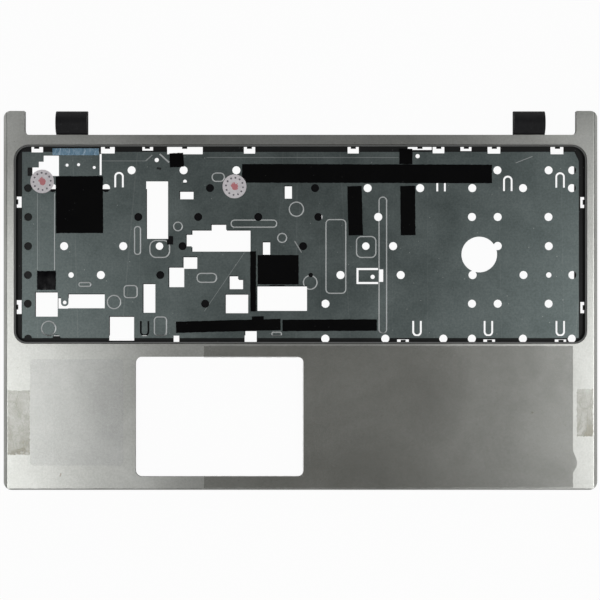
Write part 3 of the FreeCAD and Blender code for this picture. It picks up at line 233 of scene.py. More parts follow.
def makeSilver():
    material, tree, shader = startMaterial("silverPaint", 0.95, silverFinish["roughness"])
    vector = place(tree)
    grain = noise(tree, vector, silverFinish["grain"], 2.0)
    smudge = noise(tree, vector, silverFinish["smudge"], 5.0, 0.6, 0.6)
    paint = between(tree, smudge, 0.3, 0.7, silverFinish["dark"], silverFinish["light"])
    paint = blend(tree, 0.10, paint, ramp(tree, grain, (0.35, 0.1), (0.65, 1.0)), "SOFT_LIGHT")
    mottle = noise(tree, vector, silverFinish["mottle"], 2.0, 0.7)
    paint = blend(tree, 0.16, paint, ramp(tree, mottle, (0.35, 0.2), (0.65, 0.9)), "SOFT_LIGHT")
    paint = dusted(tree, paint, silverFinish["dust"])
    paint = dusted(tree, paint, silverFinish["lint"])
    marks = scratches(tree, 0.5, 34.0, 0.0022, 2.0)
    paint = blend(tree, times(tree, marks, 0.08), paint, silverFinish["scratch"])
    for mark in silverFinish["brownMarks"]:
        stain = times(tree, straightMark(tree, *mark), silverFinish["brownStrength"])
        paint = blend(tree, stain, paint, silverFinish["brown"])
    rough = ramp(tree, smudge, (0.25, 0.29), (0.55, 0.32), (0.8, 0.36))
    bumps = relief(tree, grain, 0.10, 0.00003)
    bumps = relief(tree, marks, 0.08, 0.00003, bumps)
    feed(tree, shader, Base_Color=paint, Roughness=rough, Normal=bumps)
    return material


# Keyboard plate: cool grey rolled steel, hazy, with handling marks, painted highlights on the slopes and
# edges of its stamped forms and painted shade in a dent

plateFinish = {
    "dark": (0.112, 0.138, 0.135),
    "light": (0.165, 0.196, 0.192),
    "haze": 30.0,
    "grain": 1800.0,
    "mottle": 820.0,
    # Painted highlights: pale lines along stamped edges and bends, given as start, end, width and strength
    "highlightLines": (
        ((-0.0997, 0.0899), (-0.0955, 0.0937), 0.0007, 0.45),
        ((-0.0907, 0.0944), (-0.0846, 0.0889), 0.0010, 0.80),
        ((-0.1288, 0.0899), (-0.0998, 0.0899), 0.0004, 0.30),
        ((-0.0605, 0.0921), (0.0632, 0.0921), 0.0004, 0.30),
        ((-0.0038, 0.0383), (0.0007, 0.0309), 0.0006, 0.60),
        ((0.1386, 0.0886), (0.1495, 0.0928), 0.0005, 0.35),
        ((-0.0360, 0.0310), (-0.0620, -0.0070), 0.0003, 0.30),
        ((-0.1584, 0.0196), (-0.1584, 0.0690), 0.0005, 0.55),
        ((-0.1694, 0.0196), (-0.1694, 0.0690), 0.0005, 0.20),
    ),
    "dent": ((-0.0926, 0.0853), (-0.0897, 0.0848), 0.0014),
    "dentShade": (0.02, 0.02, 0.02),
    "dentStrength": 0.8,
    "dust": {"colour": (0.70, 0.71, 0.70), "shift": (1.3, 5.1, 0), "scale": 190.0, "size": 0.06},
    "scratch": (0.62, 0.65, 0.66),
    "worn": (0.86, 0.88, 0.88),
    "slopeFoot": 0.00403,
    "slopeTop": 0.00442,
    "slopeHighlightStrength": 0.75,
    "roughness": 0.38,
}


def makePlateSteel():
    material, tree, shader = startMaterial("plateSteel", 0.92, plateFinish["roughness"])
    vector = place(tree)
    haze = noise(tree, vector, plateFinish["haze"], 6.0, 0.62, 0.4)
    rolled = noise(tree, place(tree, stretch=(60.0, 2400.0, 60.0)), 1.0, 3.0)
    grain = noise(tree, vector, plateFinish["grain"], 2.0)
    steel = between(tree, haze, 0.3, 0.7, plateFinish["dark"], plateFinish["light"])
    steel = blend(tree, 0.05, steel, ramp(tree, rolled, (0.3, 0.15), (0.7, 1.0)), "SOFT_LIGHT")
    mottle = noise(tree, vector, plateFinish["mottle"], 2.0, 0.7)
    steel = blend(tree, 0.18, steel, ramp(tree, mottle, (0.35, 0.2), (0.65, 0.9)), "SOFT_LIGHT")
    steel = dusted(tree, steel, plateFinish["dust"])
    marks = scratches(tree, 0.87, 28.0, 0.002, 5.0)
    steel = blend(tree, times(tree, marks, 0.08), steel, plateFinish["scratch"])
    level = axisOf(tree, vector, "Z")
    # Painted highlight: the sloped walls of the stamped forms, found by their height, are painted pale
    # where they catch the lamps
    onSlope = times(tree, sums(tree, "GREATER_THAN", level, plateFinish["slopeFoot"]),
                    sums(tree, "LESS_THAN", level, plateFinish["slopeTop"]))
    steel = blend(tree, times(tree, onSlope, plateFinish["slopeHighlightStrength"]), steel, plateFinish["worn"])
    # Painted highlights: each line is painted pale where a stamped edge or bend catches the lamps
    for start, end, width, strength in plateFinish["highlightLines"]:
        line = times(tree, straightMark(tree, start, end, width), strength)
        steel = blend(tree, line, steel, plateFinish["worn"])
    # Painted shade: the dent is painted dark, as if in its own shadow
    dent = times(tree, straightMark(tree, *plateFinish["dent"]), plateFinish["dentStrength"])
    steel = blend(tree, dent, steel, plateFinish["dentShade"])
    rough = ramp(tree, haze, (0.25, 0.33), (0.8, 0.44))
    bumps = relief(tree, rolled, 0.06, 0.00003)
    bumps = relief(tree, grain, 0.08, 0.00002, bumps)
    feed(tree, shader, Base_Color=steel, Roughness=rough, Normal=bumps)
    return material


# Black frame: moulded plastic; its top lip where it meets the deck is painted paler as a painted highlight

frameFinish = {
    "black": (0.012, 0.013, 0.013),
    "worn": (0.018, 0.019, 0.018),
    "lip": (0.17, 0.175, 0.17),
    "lipLevel": 0.00768,
    "dust": {"colour": (0.30, 0.30, 0.29), "shift": (4.4, 1.9, 0), "scale": 260.0, "size": 0.07},
}


def makeFrameBlack():
    material, tree, shader = startMaterial("frameBlack", 0.0, 0.45, Specular_IOR_Level=0.22)
    vector = place(tree)
    texture = noise(tree, vector, 2200.0, 3.0)
    wear = noise(tree, vector, 55.0, 5.0, 0.65)
    plastic = between(tree, wear, 0.45, 0.75, frameFinish["black"], frameFinish["worn"])
    plastic = dusted(tree, plastic, frameFinish["dust"])
    # Painted highlight: the frame's top edge, above this level, is painted pale grey where it catches the
    # light
    onLip = sums(tree, "GREATER_THAN", axisOf(tree, vector, "Z"), frameFinish["lipLevel"])
    plastic = blend(tree, onLip, plastic, frameFinish["lip"])
    rough = ramp(tree, wear, (0.3, 0.36), (0.8, 0.55))
    feed(tree, shader, Base_Color=plastic, Roughness=rough, Normal=relief(tree, texture, 0.25, 0.00004))
    return material


# Hinge caps: black plastic with a fine thread-like texture and lint

capFinish = {
    "black": (0.005, 0.005, 0.006),
    "thread": (0.024, 0.024, 0.026),
    "threadScale": 900.0,
    "turn": 0.5,
    "lint": (0.25, 0.25, 0.26),
    "lintStrength": 0.5,
}


def makeCapBlack():
    material, tree, shader = startMaterial("capBlack", 0.0, 0.5, Specular_IOR_Level=0.2)
    vector = place(tree)
    threads = waves(tree, place(tree, turn=capFinish["turn"]), capFinish["threadScale"], 9.0)
    alongThread = place(tree, turn=capFinish["turn"], stretch=(2600.0, 260.0, 900.0))
    fuzz = noise(tree, alongThread, 1.0, 4.0, 0.6, 1.2)
    weave = times(tree, threads, fuzz)
    plastic = between(tree, weave, 0.2, 0.6, capFinish["black"], capFinish["thread"])
    lint = speckles(tree, place(tree, (0.7, 0.3, 0)), 420.0, 0.10)
    plastic = blend(tree, times(tree, lint, capFinish["lintStrength"]), plastic, capFinish["lint"])
    bumps = relief(tree, weave, 0.5, 0.00008)
    rough = ramp(tree, noise(tree, vector, 120.0, 4.0), (0.3, 0.42), (0.7, 0.6))
    feed(tree, shader, Base_Color=plastic, Roughness=rough, Normal=bumps)
    return material


# Brass inserts: knurled round the outside, turned inside

brassFinish = {
    "tarnished": (0.52, 0.34, 0.12),
    "bright": (0.74, 0.54, 0.24),
    "knurl": 700.0,
    "rings": 900.0,
}


def makeBrass():
    material, tree, shader = startMaterial("turnedBrass", 1.0, 0.3)
    vector = place(tree)
    tarnish = noise(tree, vector, 260.0, 4.0)
    brass = ramp(tree, tarnish, (0.3, brassFinish["tarnished"]), (0.7, brassFinish["bright"]))
    knurl = waves(tree, place(tree, turn=0.78), brassFinish["knurl"])
    rings = waves(tree, vector, brassFinish["rings"], 0.0, "Z")
    bumps = relief(tree, times(tree, knurl, rings), 0.6, 0.00015)
    rough = ramp(tree, tarnish, (0.3, 0.24), (0.7, 0.42))
    feed(tree, shader, Base_Color=brass, Roughness=rough, Normal=bumps)
    return material


# Insulating sheet and glossy strip: thin black film, slightly crinkled, its raised crinkles painted a
# little paler as a painted sheen

blackFilmFinish = {
    "black": (0.003, 0.003, 0.004),
    "fold": (0.009, 0.009, 0.010),
    "dust": {"colour": (0.22, 0.22, 0.22), "shift": (2.2, 8.1, 0), "scale": 300.0, "size": 0.06},
}


def makeBlackFilm(name, roughness, crinkleScale, crinkle):
    material, tree, shader = startMaterial(name, 0.0, roughness, Specular_IOR_Level=0.1)
    vector = place(tree)
    folds = noise(tree, vector, crinkleScale, 5.0, 0.6, 1.0)
    # Painted sheen: the colour follows the crinkle relief, a little paler where it rises
    film = between(tree, folds, 0.35, 0.75, blackFilmFinish["black"], blackFilmFinish["fold"])
    film = dusted(tree, film, blackFilmFinish["dust"])
    feed(tree, shader, Base_Color=film, Normal=relief(tree, folds, crinkle, 0.0002))
    feed(tree, shader, Roughness=ramp(tree, folds, (0.3, roughness - 0.06), (0.8, roughness + 0.08)))
    return material


# Black cloth tape: a fine plain weave with a few dust specks

clothFinish = {
    "black": (0.0012, 0.0012, 0.0014),
    "thread": (0.0035, 0.0035, 0.0038),
    "threads": 1400.0,
    "dust": {"colour": (0.20, 0.20, 0.20), "shift": (9.2, 0.8, 0), "scale": 240.0, "size": 0.045},
}


def makeClothTape():
    material, tree, shader = startMaterial("clothTape", 0.0, 0.62, Specular_IOR_Level=0.06)
    vector = place(tree)
    warp = waves(tree, vector, clothFinish["threads"], 0.6)
    weft = waves(tree, vector, clothFinish["threads"], 0.6, "Y")
    weave = times(tree, warp, weft)
    ripple = noise(tree, vector, 70.0, 4.0)
    cloth = blend(tree, weave, clothFinish["black"], clothFinish["thread"])
    cloth = dusted(tree, cloth, clothFinish["dust"])
    bumps = relief(tree, ripple, 0.25, 0.0002)
    bumps = relief(tree, weave, 0.35, 0.00005, bumps)
    rough = ramp(tree, ripple, (0.3, 0.55), (0.7, 0.70))
    feed(tree, shader, Base_Color=cloth, Roughness=rough, Normal=bumps)
    return material


# Round stickers: pale paper with a ring of dots and a plain red mark

stickerFinish = {
    "paper": (0.86, 0.82, 0.84),
    "paperShade": (0.70, 0.66, 0.69),
    "ink": (0.16, 0.15, 0.17),
    "mark": (0.62, 0.22, 0.24),
    "dots": 12,
    "ringRadius": 0.0055,
    "dotRadius": 0.0006,
    "dotRagged": 0.0007,
    "markRadius": 0.0040,
    "markRagged": 0.0035,
}


def makeStickerPaper(name, middle, turn):
    material, tree, shader = startMaterial(name, 0.0, 0.55)
    vector = place(tree, (-middle[0], -middle[1], 0))
    across = axisOf(tree, vector, "X")
    along = axisOf(tree, vector, "Y")
    reach = distance(tree, across, along)
    angle = sums(tree, "ADD", sums(tree, "ARCTAN2", along, across), math.pi * 2 + turn)
    step = math.pi * 2 / stickerFinish["dots"]
    swing = sums(tree, "SUBTRACT", sums(tree, "MODULO", angle, step), step / 2)
    sideways = times(tree, swing, stickerFinish["ringRadius"])
    outwards = sums(tree, "SUBTRACT", reach, stickerFinish["ringRadius"])
    wobble = noise(tree, vector, 900.0, 3.0)
    gap = distance(tree, sideways, outwards)
    gap = sums(tree, "ADD", gap, times(tree, wobble, stickerFinish["dotRagged"]))
    dots = sums(tree, "LESS_THAN", gap, stickerFinish["dotRadius"] + stickerFinish["dotRagged"] / 2)
    markReach = sums(tree, "ADD", reach, times(tree, wobble, stickerFinish["markRagged"]))
    mark = sums(tree, "LESS_THAN", markReach, stickerFinish["markRadius"])
    shade = noise(tree, vector, 380.0, 5.0, 0.65)
    paper = between(tree, shade, 0.3, 0.7, stickerFinish["paperShade"], stickerFinish["paper"])
    paper = blend(tree, dots, paper, stickerFinish["ink"])
    paper = blend(tree, mark, paper, stickerFinish["mark"])
    feed(tree, shader, Base_Color=paper, Normal=relief(tree, shade, 0.3, 0.0001))
    feed(tree, shader, Roughness=ramp(tree, shade, (0.3, 0.48), (0.7, 0.62)))
    return material


# Blue liner: crumpled blue film, painted darker in the hollows and paler on the crests of its crumples as
# painted shade and highlight

blueFinish = {
    "deep": (0.10, 0.20, 0.30),
    "blue": (0.20, 0.36, 0.50),
    "pale": (0.52, 0.68, 0.80),
}


def makeBlueFilm():
    material, tree, shader = startMaterial("blueFilm", 0.0, 0.28, Coat_Weight=0.3)
    vector = place(tree)
    crumple = noise(tree, place(tree, stretch=(3.0, 1.0, 1.0)), 130.0, 5.0, 0.65, 1.5)
    # Painted shade and highlight: the colour follows the crumple relief, deep blue low and pale blue high
    stops = ((0.25, blueFinish["deep"]), (0.5, blueFinish["blue"]), (0.75, blueFinish["pale"]))
    blue = ramp(tree, crumple, *stops)
    feed(tree, shader, Base_Color=blue, Normal=relief(tree, crumple, 0.6, 0.0004))
    feed(tree, shader, Roughness=ramp(tree, noise(tree, vector, 420.0), (0.3, 0.22), (0.7, 0.36)))
    return material


# Clear films: nearly invisible, seen by their haze and dust

clearFinish = {
    "palm": {"tint": (0.19, 0.19, 0.165), "haze": 0.24, "dustCover": 0.3},
    "patch": {"tint": (0.68, 0.68, 0.74), "haze": 0.06, "dustCover": 0.2},
}


def makeClearFilm(name, tint, haze, dustCover):
    material, tree, shader = startMaterial(name, 0.0, 0.3)
    vector = place(tree)
    ripple = noise(tree, vector, 24.0, 5.0, 0.6, 0.8)
    grain = noise(tree, vector, 700.0, 3.0)
    dust = speckles(tree, place(tree, (6.3, 2.7, 0)), 170.0, 0.045)
    paler = [min(1.0, part * 1.15) for part in tint]
    colour = between(tree, ripple, 0.3, 0.7, tint, paler)
    cover = ramp(tree, ripple, (0.2, haze * 0.7), (0.8, haze))
    cover = sums(tree, "MAXIMUM", cover, times(tree, dust, dustCover))
    feed(tree, shader, Base_Color=colour, Alpha=cover, Normal=relief(tree, grain, 0.12, 0.00004))
    feed(tree, shader, Roughness=ramp(tree, ripple, (0.3, 0.26), (0.7, 0.38)))
    return material


# Yellowed tape: aged glue in blotches, browner towards its front end

agedFinish = {
    "pale": (0.95, 0.94, 0.86),
    "aged": (0.90, 0.88, 0.75),
    "brown": (0.74, 0.71, 0.57),
    "thinCover": 0.09,
    "thickCover": 0.24,
    "foldCover": 0.06,
    "brownCover": 0.2,
    "mostCover": 0.7,
}


def makeAgedTape(name, frontEdge, length):
    material, tree, shader = startMaterial(name, 0.0, 0.4)
    vector = place(tree)
    blotch = noise(tree, vector, 150.0, 6.0, 0.62, 0.8)
    alongFolds = place(tree, turn=0.6, stretch=(1.0, 0.35, 1.0))
    folds = ramp(tree, cells(tree, alongFolds, 110.0, "DISTANCE_TO_EDGE"), (0.0, 1.0), (0.035, 0.0))
    toFront = sums(tree, "DIVIDE", sums(tree, "SUBTRACT", axisOf(tree, vector, "Y"), frontEdge), length)
    browner = times(tree, ramp(tree, toFront, (0.0, 1.0), (0.35, 0.25), (1.0, 0.0)),
                    ramp(tree, blotch, (0.35, 0.2), (0.6, 1.0)))
    glue = between(tree, blotch, 0.3, 0.7, agedFinish["pale"], agedFinish["aged"])
    glue = blend(tree, browner, glue, agedFinish["brown"])
    cover = ramp(tree, blotch, (0.25, agedFinish["thinCover"]), (0.75, agedFinish["thickCover"]))
    cover = sums(tree, "ADD", cover, times(tree, folds, agedFinish["foldCover"]))
    cover = sums(tree, "ADD", cover, times(tree, browner, agedFinish["brownCover"]))
    cover = sums(tree, "MINIMUM", cover, agedFinish["mostCover"])
    bumps = relief(tree, blotch, 0.3, 0.0002)
    bumps = relief(tree, folds, 0.4, 0.0001, bumps)
    feed(tree, shader, Base_Color=glue, Alpha=cover, Normal=bumps)
    feed(tree, shader, Roughness=ramp(tree, blotch, (0.3, 0.34), (0.7, 0.55)))
    return material


silverPaint = makeSilver()
plateSteel = makePlateSteel()
frameBlack = makeFrameBlack()
capBlack = makeCapBlack()
turnedBrass = makeBrass()
sheetFilm = makeBlackFilm("sheetFilm", 0.42, 45.0, 0.25)
wrapFilm = makeBlackFilm("wrapFilm", 0.16, 60.0, 0.15)
clothTape = makeClothTape()
blueFilm = makeBlueFilm()

dress(nodes["top_cover"], silverPaint)
dress(nodes["keyboard_plate"], plateSteel)
dress(nodes["well_frame"], frameBlack)
dress(nodes["insulator_sheet"], sheetFilm)
dress(nodes["hinge_cap_left"], capBlack)
dress(nodes["hinge_cap_right"], capBlack)
dress(nodes["brass_inserts"], turnedBrass)
print("CAD nodes dressed")


# Modelling helpers

def clearSelection():
    if bpy.context.object and bpy.context.object.mode != "OBJECT":
        bpy.ops.object.mode_set(mode="OBJECT")
    bpy.ops.object.select_all(action="DESELECT")


def nameOf(node):
    return "".join(part.capitalize() for part in node.split("_"))


def rectangleOf(sizes):
    # Middle, length and width between four edges
    middle = ((sizes["right"] + sizes["left"]) / 2, (sizes["rear"] + sizes["front"]) / 2)
    return middle, sizes["right"] - sizes["left"], sizes["rear"] - sizes["front"]


def startGrid(name, middle, length, width, columns, rows, turn=0.0):
    # A flat grid at its place, with its place in its mesh
    clearSelection()
    bpy.ops.mesh.primitive_grid_add(
        x_subdivisions=columns, y_subdivisions=rows, size=1.0, location=middle, rotation=(0, 0, turn)
    )
    piece = bpy.context.object
    piece.name = name
    piece.scale = (length, width, 1.0)
    bpy.ops.object.transform_apply(location=True, rotation=True, scale=True)
    return piece


def roughenEdge(piece, amount, seed):
    # Moves the points of the open edge a little, so that it isn't ruler straight
    level = piece.data.vertices[0].co.z
    bpy.ops.object.mode_set(mode="EDIT")
    bpy.ops.mesh.select_all(action="DESELECT")
    bpy.ops.mesh.select_mode(type="EDGE")
    bpy.ops.mesh.select_non_manifold(extend=False, use_wire=False, use_multi_face=False,
                                     use_non_contiguous=False, use_verts=False)
    bpy.ops.transform.vertex_random(offset=amount, uniform=1.0, normal=0.0, seed=seed)
    bpy.ops.transform.resize(value=(1, 1, 0), center_override=(0, 0, level))
    bpy.ops.mesh.select_all(action="DESELECT")
    bpy.ops.object.mode_set(mode="OBJECT")


def pullSelected(shift, falloff, reach):
    # Moves the chosen points, and those round them less and less
    bpy.ops.object.mode_set(mode="EDIT")
    bpy.ops.mesh.select_mode(type="VERT")
    bpy.ops.transform.translate(value=shift, use_proportional_edit=True,
                                proportional_edit_falloff=falloff, proportional_size=reach)
    bpy.ops.mesh.select_all(action="DESELECT")
    bpy.ops.object.mode_set(mode="OBJECT")


def wrinkle(piece, height, size):
    # Soft wrinkles that only rise, from a cloud texture
    texture = bpy.data.textures.new(piece.name + "Clouds", "CLOUDS")
    texture.noise_scale = size
    change = piece.modifiers.new("wrinkle", "DISPLACE")
    change.texture = texture
    change.texture_coords = "LOCAL"
    change.direction = "Z"
    change.mid_level = 0.0
    change.strength = height
    bpy.ops.object.modifier_apply(modifier=change.name)


def thicken(piece, thickness):
    change = piece.modifiers.new("thickness", "SOLIDIFY")
    change.thickness = thickness
    change.offset = 1.0
    bpy.ops.object.modifier_apply(modifier=change.name)
    bpy.ops.object.shade_smooth_by_angle(angle=math.radians(35))


def finishPiece(piece, node, material):
    dress(piece, material)
    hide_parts(node)
    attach(piece, "root")
    clearSelection()


# Cloth tapes on the plate

tapeSizes = {
    "level": 0.00400,
    "lift": 0.00001,
    "thickness": 0.00017,
    "wrinkle": 0.00014,
    "wrinkleSize": 0.006,
    "edge": 0.00010,
    "pitch": 0.0016,
}
# Middle, length and width in millimetres and turn in degrees
tapes = {
    "tape_rear_long": (42.9, 81.7, 161.0, 12.0, -0.15),
    "tape_rear_tab": (67.9, 92.8, 8.4, 9.9, 0.0),
    "tape_strip_centre": (35.2, 57.8, 9.25, 31.7, 1.5),
    "tape_strip_right": (69.2, 57.9, 9.5, 31.8, 0.5),
    "tape_square_left": (-142.4, 61.75, 30.4, 36.7, 0.3),
    "tape_square_rear": (-79.75, 90.45, 8.9, 9.1, 3.0),
    "tape_square_centre": (-14.4, 19.8, 26.4, 19.0, 0.0),
    "tape_bar_centre": (-30.45, 12.25, 3.7, 38.7, 0.0),
    "tape_front_right": (18.8, -15.95, 60.8, 7.4, 0.3),
}


def makeTape(number, node, x, y, length, width, turn):
    columns = max(3, round(length / 1000 / tapeSizes["pitch"]))
    rows = max(3, round(width / 1000 / tapeSizes["pitch"]))
    middle = (x / 1000, y / 1000, tapeSizes["level"] + tapeSizes["lift"])
    piece = startGrid(nameOf(node), middle, length / 1000, width / 1000, columns, rows, math.radians(turn))
    roughenEdge(piece, tapeSizes["edge"], number)
    wrinkle(piece, tapeSizes["wrinkle"], tapeSizes["wrinkleSize"])
    thicken(piece, tapeSizes["thickness"])
    finishPiece(piece, node, clothTape)


for number, (node, values) in enumerate(tapes.items(), start=1):
    makeTape(number, node, *values)


# Front left tape: a long strip with a short bump on its rear edge

frontTape = {
    "middle": (-0.0465, -0.0164),
    "length": 0.0674,
    "width": 0.0073,
    "turn": math.radians(1.5),
    "bumpFrom": 0.0153,
    "bumpTo": 0.0241,
    "bumpReach": 0.0020,
    "slack": 0.0001,
    "columns": 44,
    "rows": 4,
    "seed": 20,
}


def makeFrontTape():
    middle = (*frontTape["middle"], tapeSizes["level"] + tapeSizes["lift"])
    piece = startGrid("TapeFrontLeft", (0, 0, 0), frontTape["length"], frontTape["width"],
                      frontTape["columns"], frontTape["rows"])
    bpy.ops.object.mode_set(mode="EDIT")
    bpy.ops.mesh.select_all(action="DESELECT")
    bpy.ops.mesh.select_mode(type="EDGE")
    bpy.ops.object.mode_set(mode="OBJECT")
    rearEdge = frontTape["width"] / 2 - frontTape["slack"]
    for edge in piece.data.edges:
        ends = [piece.data.vertices[index].co for index in edge.vertices]
        inRun = all(frontTape["bumpFrom"] < end.x < frontTape["bumpTo"] for end in ends)
        edge.select = inRun and all(end.y > rearEdge for end in ends)
    bpy.ops.object.mode_set(mode="EDIT")
    bpy.ops.mesh.extrude_region_move(TRANSFORM_OT_translate={"value": (0, frontTape["bumpReach"], 0)})
    bpy.ops.object.mode_set(mode="OBJECT")
    piece.location = middle
    piece.rotation_euler = (0, 0, frontTape["turn"])
    bpy.ops.object.transform_apply(location=True, rotation=True, scale=True)
    roughenEdge(piece, tapeSizes["edge"], frontTape["seed"])
    wrinkle(piece, tapeSizes["wrinkle"], tapeSizes["wrinkleSize"])
    thicken(piece, tapeSizes["thickness"])
    finishPiece(piece, "tape_front_left", clothTape)


makeFrontTape()
print("tapes laid")


# Glossy strip that bows over the edge of the left window

wrapSizes = {
    "middle": (-0.16365, 0.0129),
    "length": 0.0121,
    "width": 0.0122,
    "thickness": 0.00008,
    "squares": 16,
    "edge": 0.0001,
    "seed": 31,
    "crown": 0.0008,
    "rise": 0.0004,
    "reach": 0.0056,
    "wrinkle": 0.0001,
    "wrinkleSize": 0.004,
}


def makeWrap():
    middle = (*wrapSizes["middle"], tapeSizes["level"] + tapeSizes["lift"])
    piece = startGrid("TapeWrapLeft", middle, wrapSizes["length"], wrapSizes["width"],
                      wrapSizes["squares"], wrapSizes["squares"])
    roughenEdge(piece, wrapSizes["edge"], wrapSizes["seed"])
    for corner in piece.data.vertices:
        corner.select = abs(corner.co.y - wrapSizes["middle"][1]) < wrapSizes["crown"]
    pullSelected((0, 0, wrapSizes["rise"]), "SPHERE", wrapSizes["reach"])
    wrinkle(piece, wrapSizes["wrinkle"], wrapSizes["wrinkleSize"])
    thicken(piece, wrapSizes["thickness"])
    finishPiece(piece, "tape_wrap_left", wrapFilm)


makeWrap()


# Round stickers, sunk a little towards the middle

stickerSizes = {
    "corners": 64,
    "rings": 5,
    "ringShare": 7,
    "ringStep": -0.00001,
    "thickness": 0.0001,
    "wrinkle": 0.00005,
    "wrinkleSize": 0.005,
}
# Middle, radius, level and turn in radians
stickers = {
    "inspection_sticker_left": ((-0.1664, 0.0767), 0.0076, 0.0040, 0.2),
    "inspection_sticker_centre": ((-0.0425, 0.0735), 0.0077, 0.0042, 0.9),
}


def makeSticker(node, middle, radius, level, turn):
    clearSelection()
    bpy.ops.mesh.primitive_circle_add(
        vertices=stickerSizes["corners"], radius=radius, fill_type="NGON", location=(*middle, level)
    )
    piece = bpy.context.object
    piece.name = nameOf(node)
    bpy.ops.object.transform_apply(location=True, rotation=True, scale=True)
    bpy.ops.object.mode_set(mode="EDIT")
    bpy.ops.mesh.select_all(action="SELECT")
    for _ in range(stickerSizes["rings"]):
        bpy.ops.mesh.inset(thickness=radius / stickerSizes["ringShare"], depth=stickerSizes["ringStep"])
    bpy.ops.mesh.select_all(action="DESELECT")
    bpy.ops.object.mode_set(mode="OBJECT")
    wrinkle(piece, stickerSizes["wrinkle"], stickerSizes["wrinkleSize"])
    thicken(piece, stickerSizes["thickness"])
    paper = makeStickerPaper(piece.name + "Paper", middle, turn)
    finishPiece(piece, node, paper)


for node, values in stickers.items():
    makeSticker(node, *values)
print("stickers laid")


# Blue liner: a strip pinched up at four folds

linerSizes = {
    "left": -0.1597,
    "right": -0.1299,
    "front": 0.0936,
    "rear": 0.0980,
    "level": 0.00401,
    "thickness": 0.00004,
    "columns": 90,
    "rows": 10,
    "edge": 0.0001,
    "seed": 41,
    "folds": (-0.1560, -0.1498, -0.1399, -0.1333),
    "lean": 0.25,
    "crest": 0.0002,
    "rise": 0.00032,
    "reach": 0.0011,
    "wrinkle": 0.00008,
    "wrinkleSize": 0.002,
}


def makeLiner():
    middle, length, width = rectangleOf(linerSizes)
    piece = startGrid("BlueLiner", (*middle, linerSizes["level"]), length, width,
                      linerSizes["columns"], linerSizes["rows"])
    roughenEdge(piece, linerSizes["edge"], linerSizes["seed"])
    for fold in linerSizes["folds"]:
        for corner in piece.data.vertices:
            lean = (corner.co.y - linerSizes["front"]) * linerSizes["lean"]
            corner.select = abs(corner.co.x - fold - lean) < linerSizes["crest"]
        pullSelected((0, 0, linerSizes["rise"]), "SHARP", linerSizes["reach"])
    wrinkle(piece, linerSizes["wrinkle"], linerSizes["wrinkleSize"])
    thicken(piece, linerSizes["thickness"])
    finishPiece(piece, "blue_liner", blueFilm)


makeLiner()
print("blue liner laid")


# Clear film on the palm area, cut out round the touchpad opening, its right edge lifted at one place

filmSizes = {
    "left": -0.0620,
    "right": 0.1750,
    "front": -0.1203,
    "rear": -0.0292,
    "level": 0.00801,
    "padRight": 0.0015,
    "padFront": -0.1127,
    "padRear": -0.0367,
    "thickness": 0.00003,
    "columns": 118,
    "rows": 46,
    "edge": 0.00012,
    "seed": 51,
    "flap": (0.1745, -0.1030),
    "flapRadius": 0.0016,
    "flapShift": (0.0025, -0.0010, 0.0016),
    "flapReach": 0.007,
    "wrinkle": 0.00006,
    "wrinkleSize": 0.03,
}


def bisectAt(point, direction):
    bpy.ops.mesh.select_all(action="SELECT")
    bpy.ops.mesh.bisect(plane_co=point, plane_no=direction)


def makePalmFilm():
    middle, length, width = rectangleOf(filmSizes)
    piece = startGrid("PalmFilm", (*middle, filmSizes["level"]), length, width,
                      filmSizes["columns"], filmSizes["rows"])
    bpy.ops.object.mode_set(mode="EDIT")
    bisectAt((filmSizes["padRight"], 0, 0), (1, 0, 0))
    bisectAt((0, filmSizes["padFront"], 0), (0, 1, 0))
    bisectAt((0, filmSizes["padRear"], 0), (0, 1, 0))
    bpy.ops.mesh.select_all(action="DESELECT")
    bpy.ops.object.mode_set(mode="OBJECT")
    for face in piece.data.polygons:
        inside = filmSizes["padFront"] < face.center.y < filmSizes["padRear"]
        face.select = inside and face.center.x < filmSizes["padRight"]
    bpy.ops.object.mode_set(mode="EDIT")
    bpy.ops.mesh.select_mode(type="FACE")
    bpy.ops.mesh.delete(type="FACE")
    bpy.ops.object.mode_set(mode="OBJECT")
    roughenEdge(piece, filmSizes["edge"], filmSizes["seed"])
    for corner in piece.data.vertices:
        corner.select = math.dist(corner.co[:2], filmSizes["flap"]) < filmSizes["flapRadius"]
    pullSelected(filmSizes["flapShift"], "SMOOTH", filmSizes["flapReach"])
    wrinkle(piece, filmSizes["wrinkle"], filmSizes["wrinkleSize"])
    thicken(piece, filmSizes["thickness"])
    finishPiece(piece, "palm_film", makeClearFilm("palmClear", **clearFinish["palm"]))


makePalmFilm()


# Clear patch on the left of the palm area, with rounded corners

patchSizes = {
    "left": -0.1736,
    "right": -0.1137,
    "front": -0.1060,
    "rear": -0.0377,
    "corner": 0.0025,
    "cornerSteps": 6,
    "rimWidth": 0.0009,
    "rimRise": 0.00002,
    "slopeWidth": 0.0015,
    "slopeFall": -0.00001,
    "thickness": 0.00004,
}


def makePatch():
    middle, length, width = rectangleOf(patchSizes)
    piece = startGrid("FilmPatchLeft", (*middle, filmSizes["level"]), length, width, 1, 1)
    bpy.ops.object.mode_set(mode="EDIT")
    bpy.ops.mesh.select_all(action="SELECT")
    bpy.ops.mesh.bevel(offset=patchSizes["corner"], segments=patchSizes["cornerSteps"], affect="VERTICES")
    bpy.ops.mesh.select_all(action="SELECT")
    bpy.ops.mesh.inset(thickness=patchSizes["rimWidth"], depth=patchSizes["rimRise"])
    bpy.ops.mesh.inset(thickness=patchSizes["slopeWidth"], depth=patchSizes["slopeFall"])
    bpy.ops.mesh.select_all(action="DESELECT")
    bpy.ops.object.mode_set(mode="OBJECT")
    thicken(piece, patchSizes["thickness"])
    finishPiece(piece, "film_patch_left", makeClearFilm("patchClear", **clearFinish["patch"]))


makePatch()
print("films laid")


# Yellowed tapes at both sides of the palm area

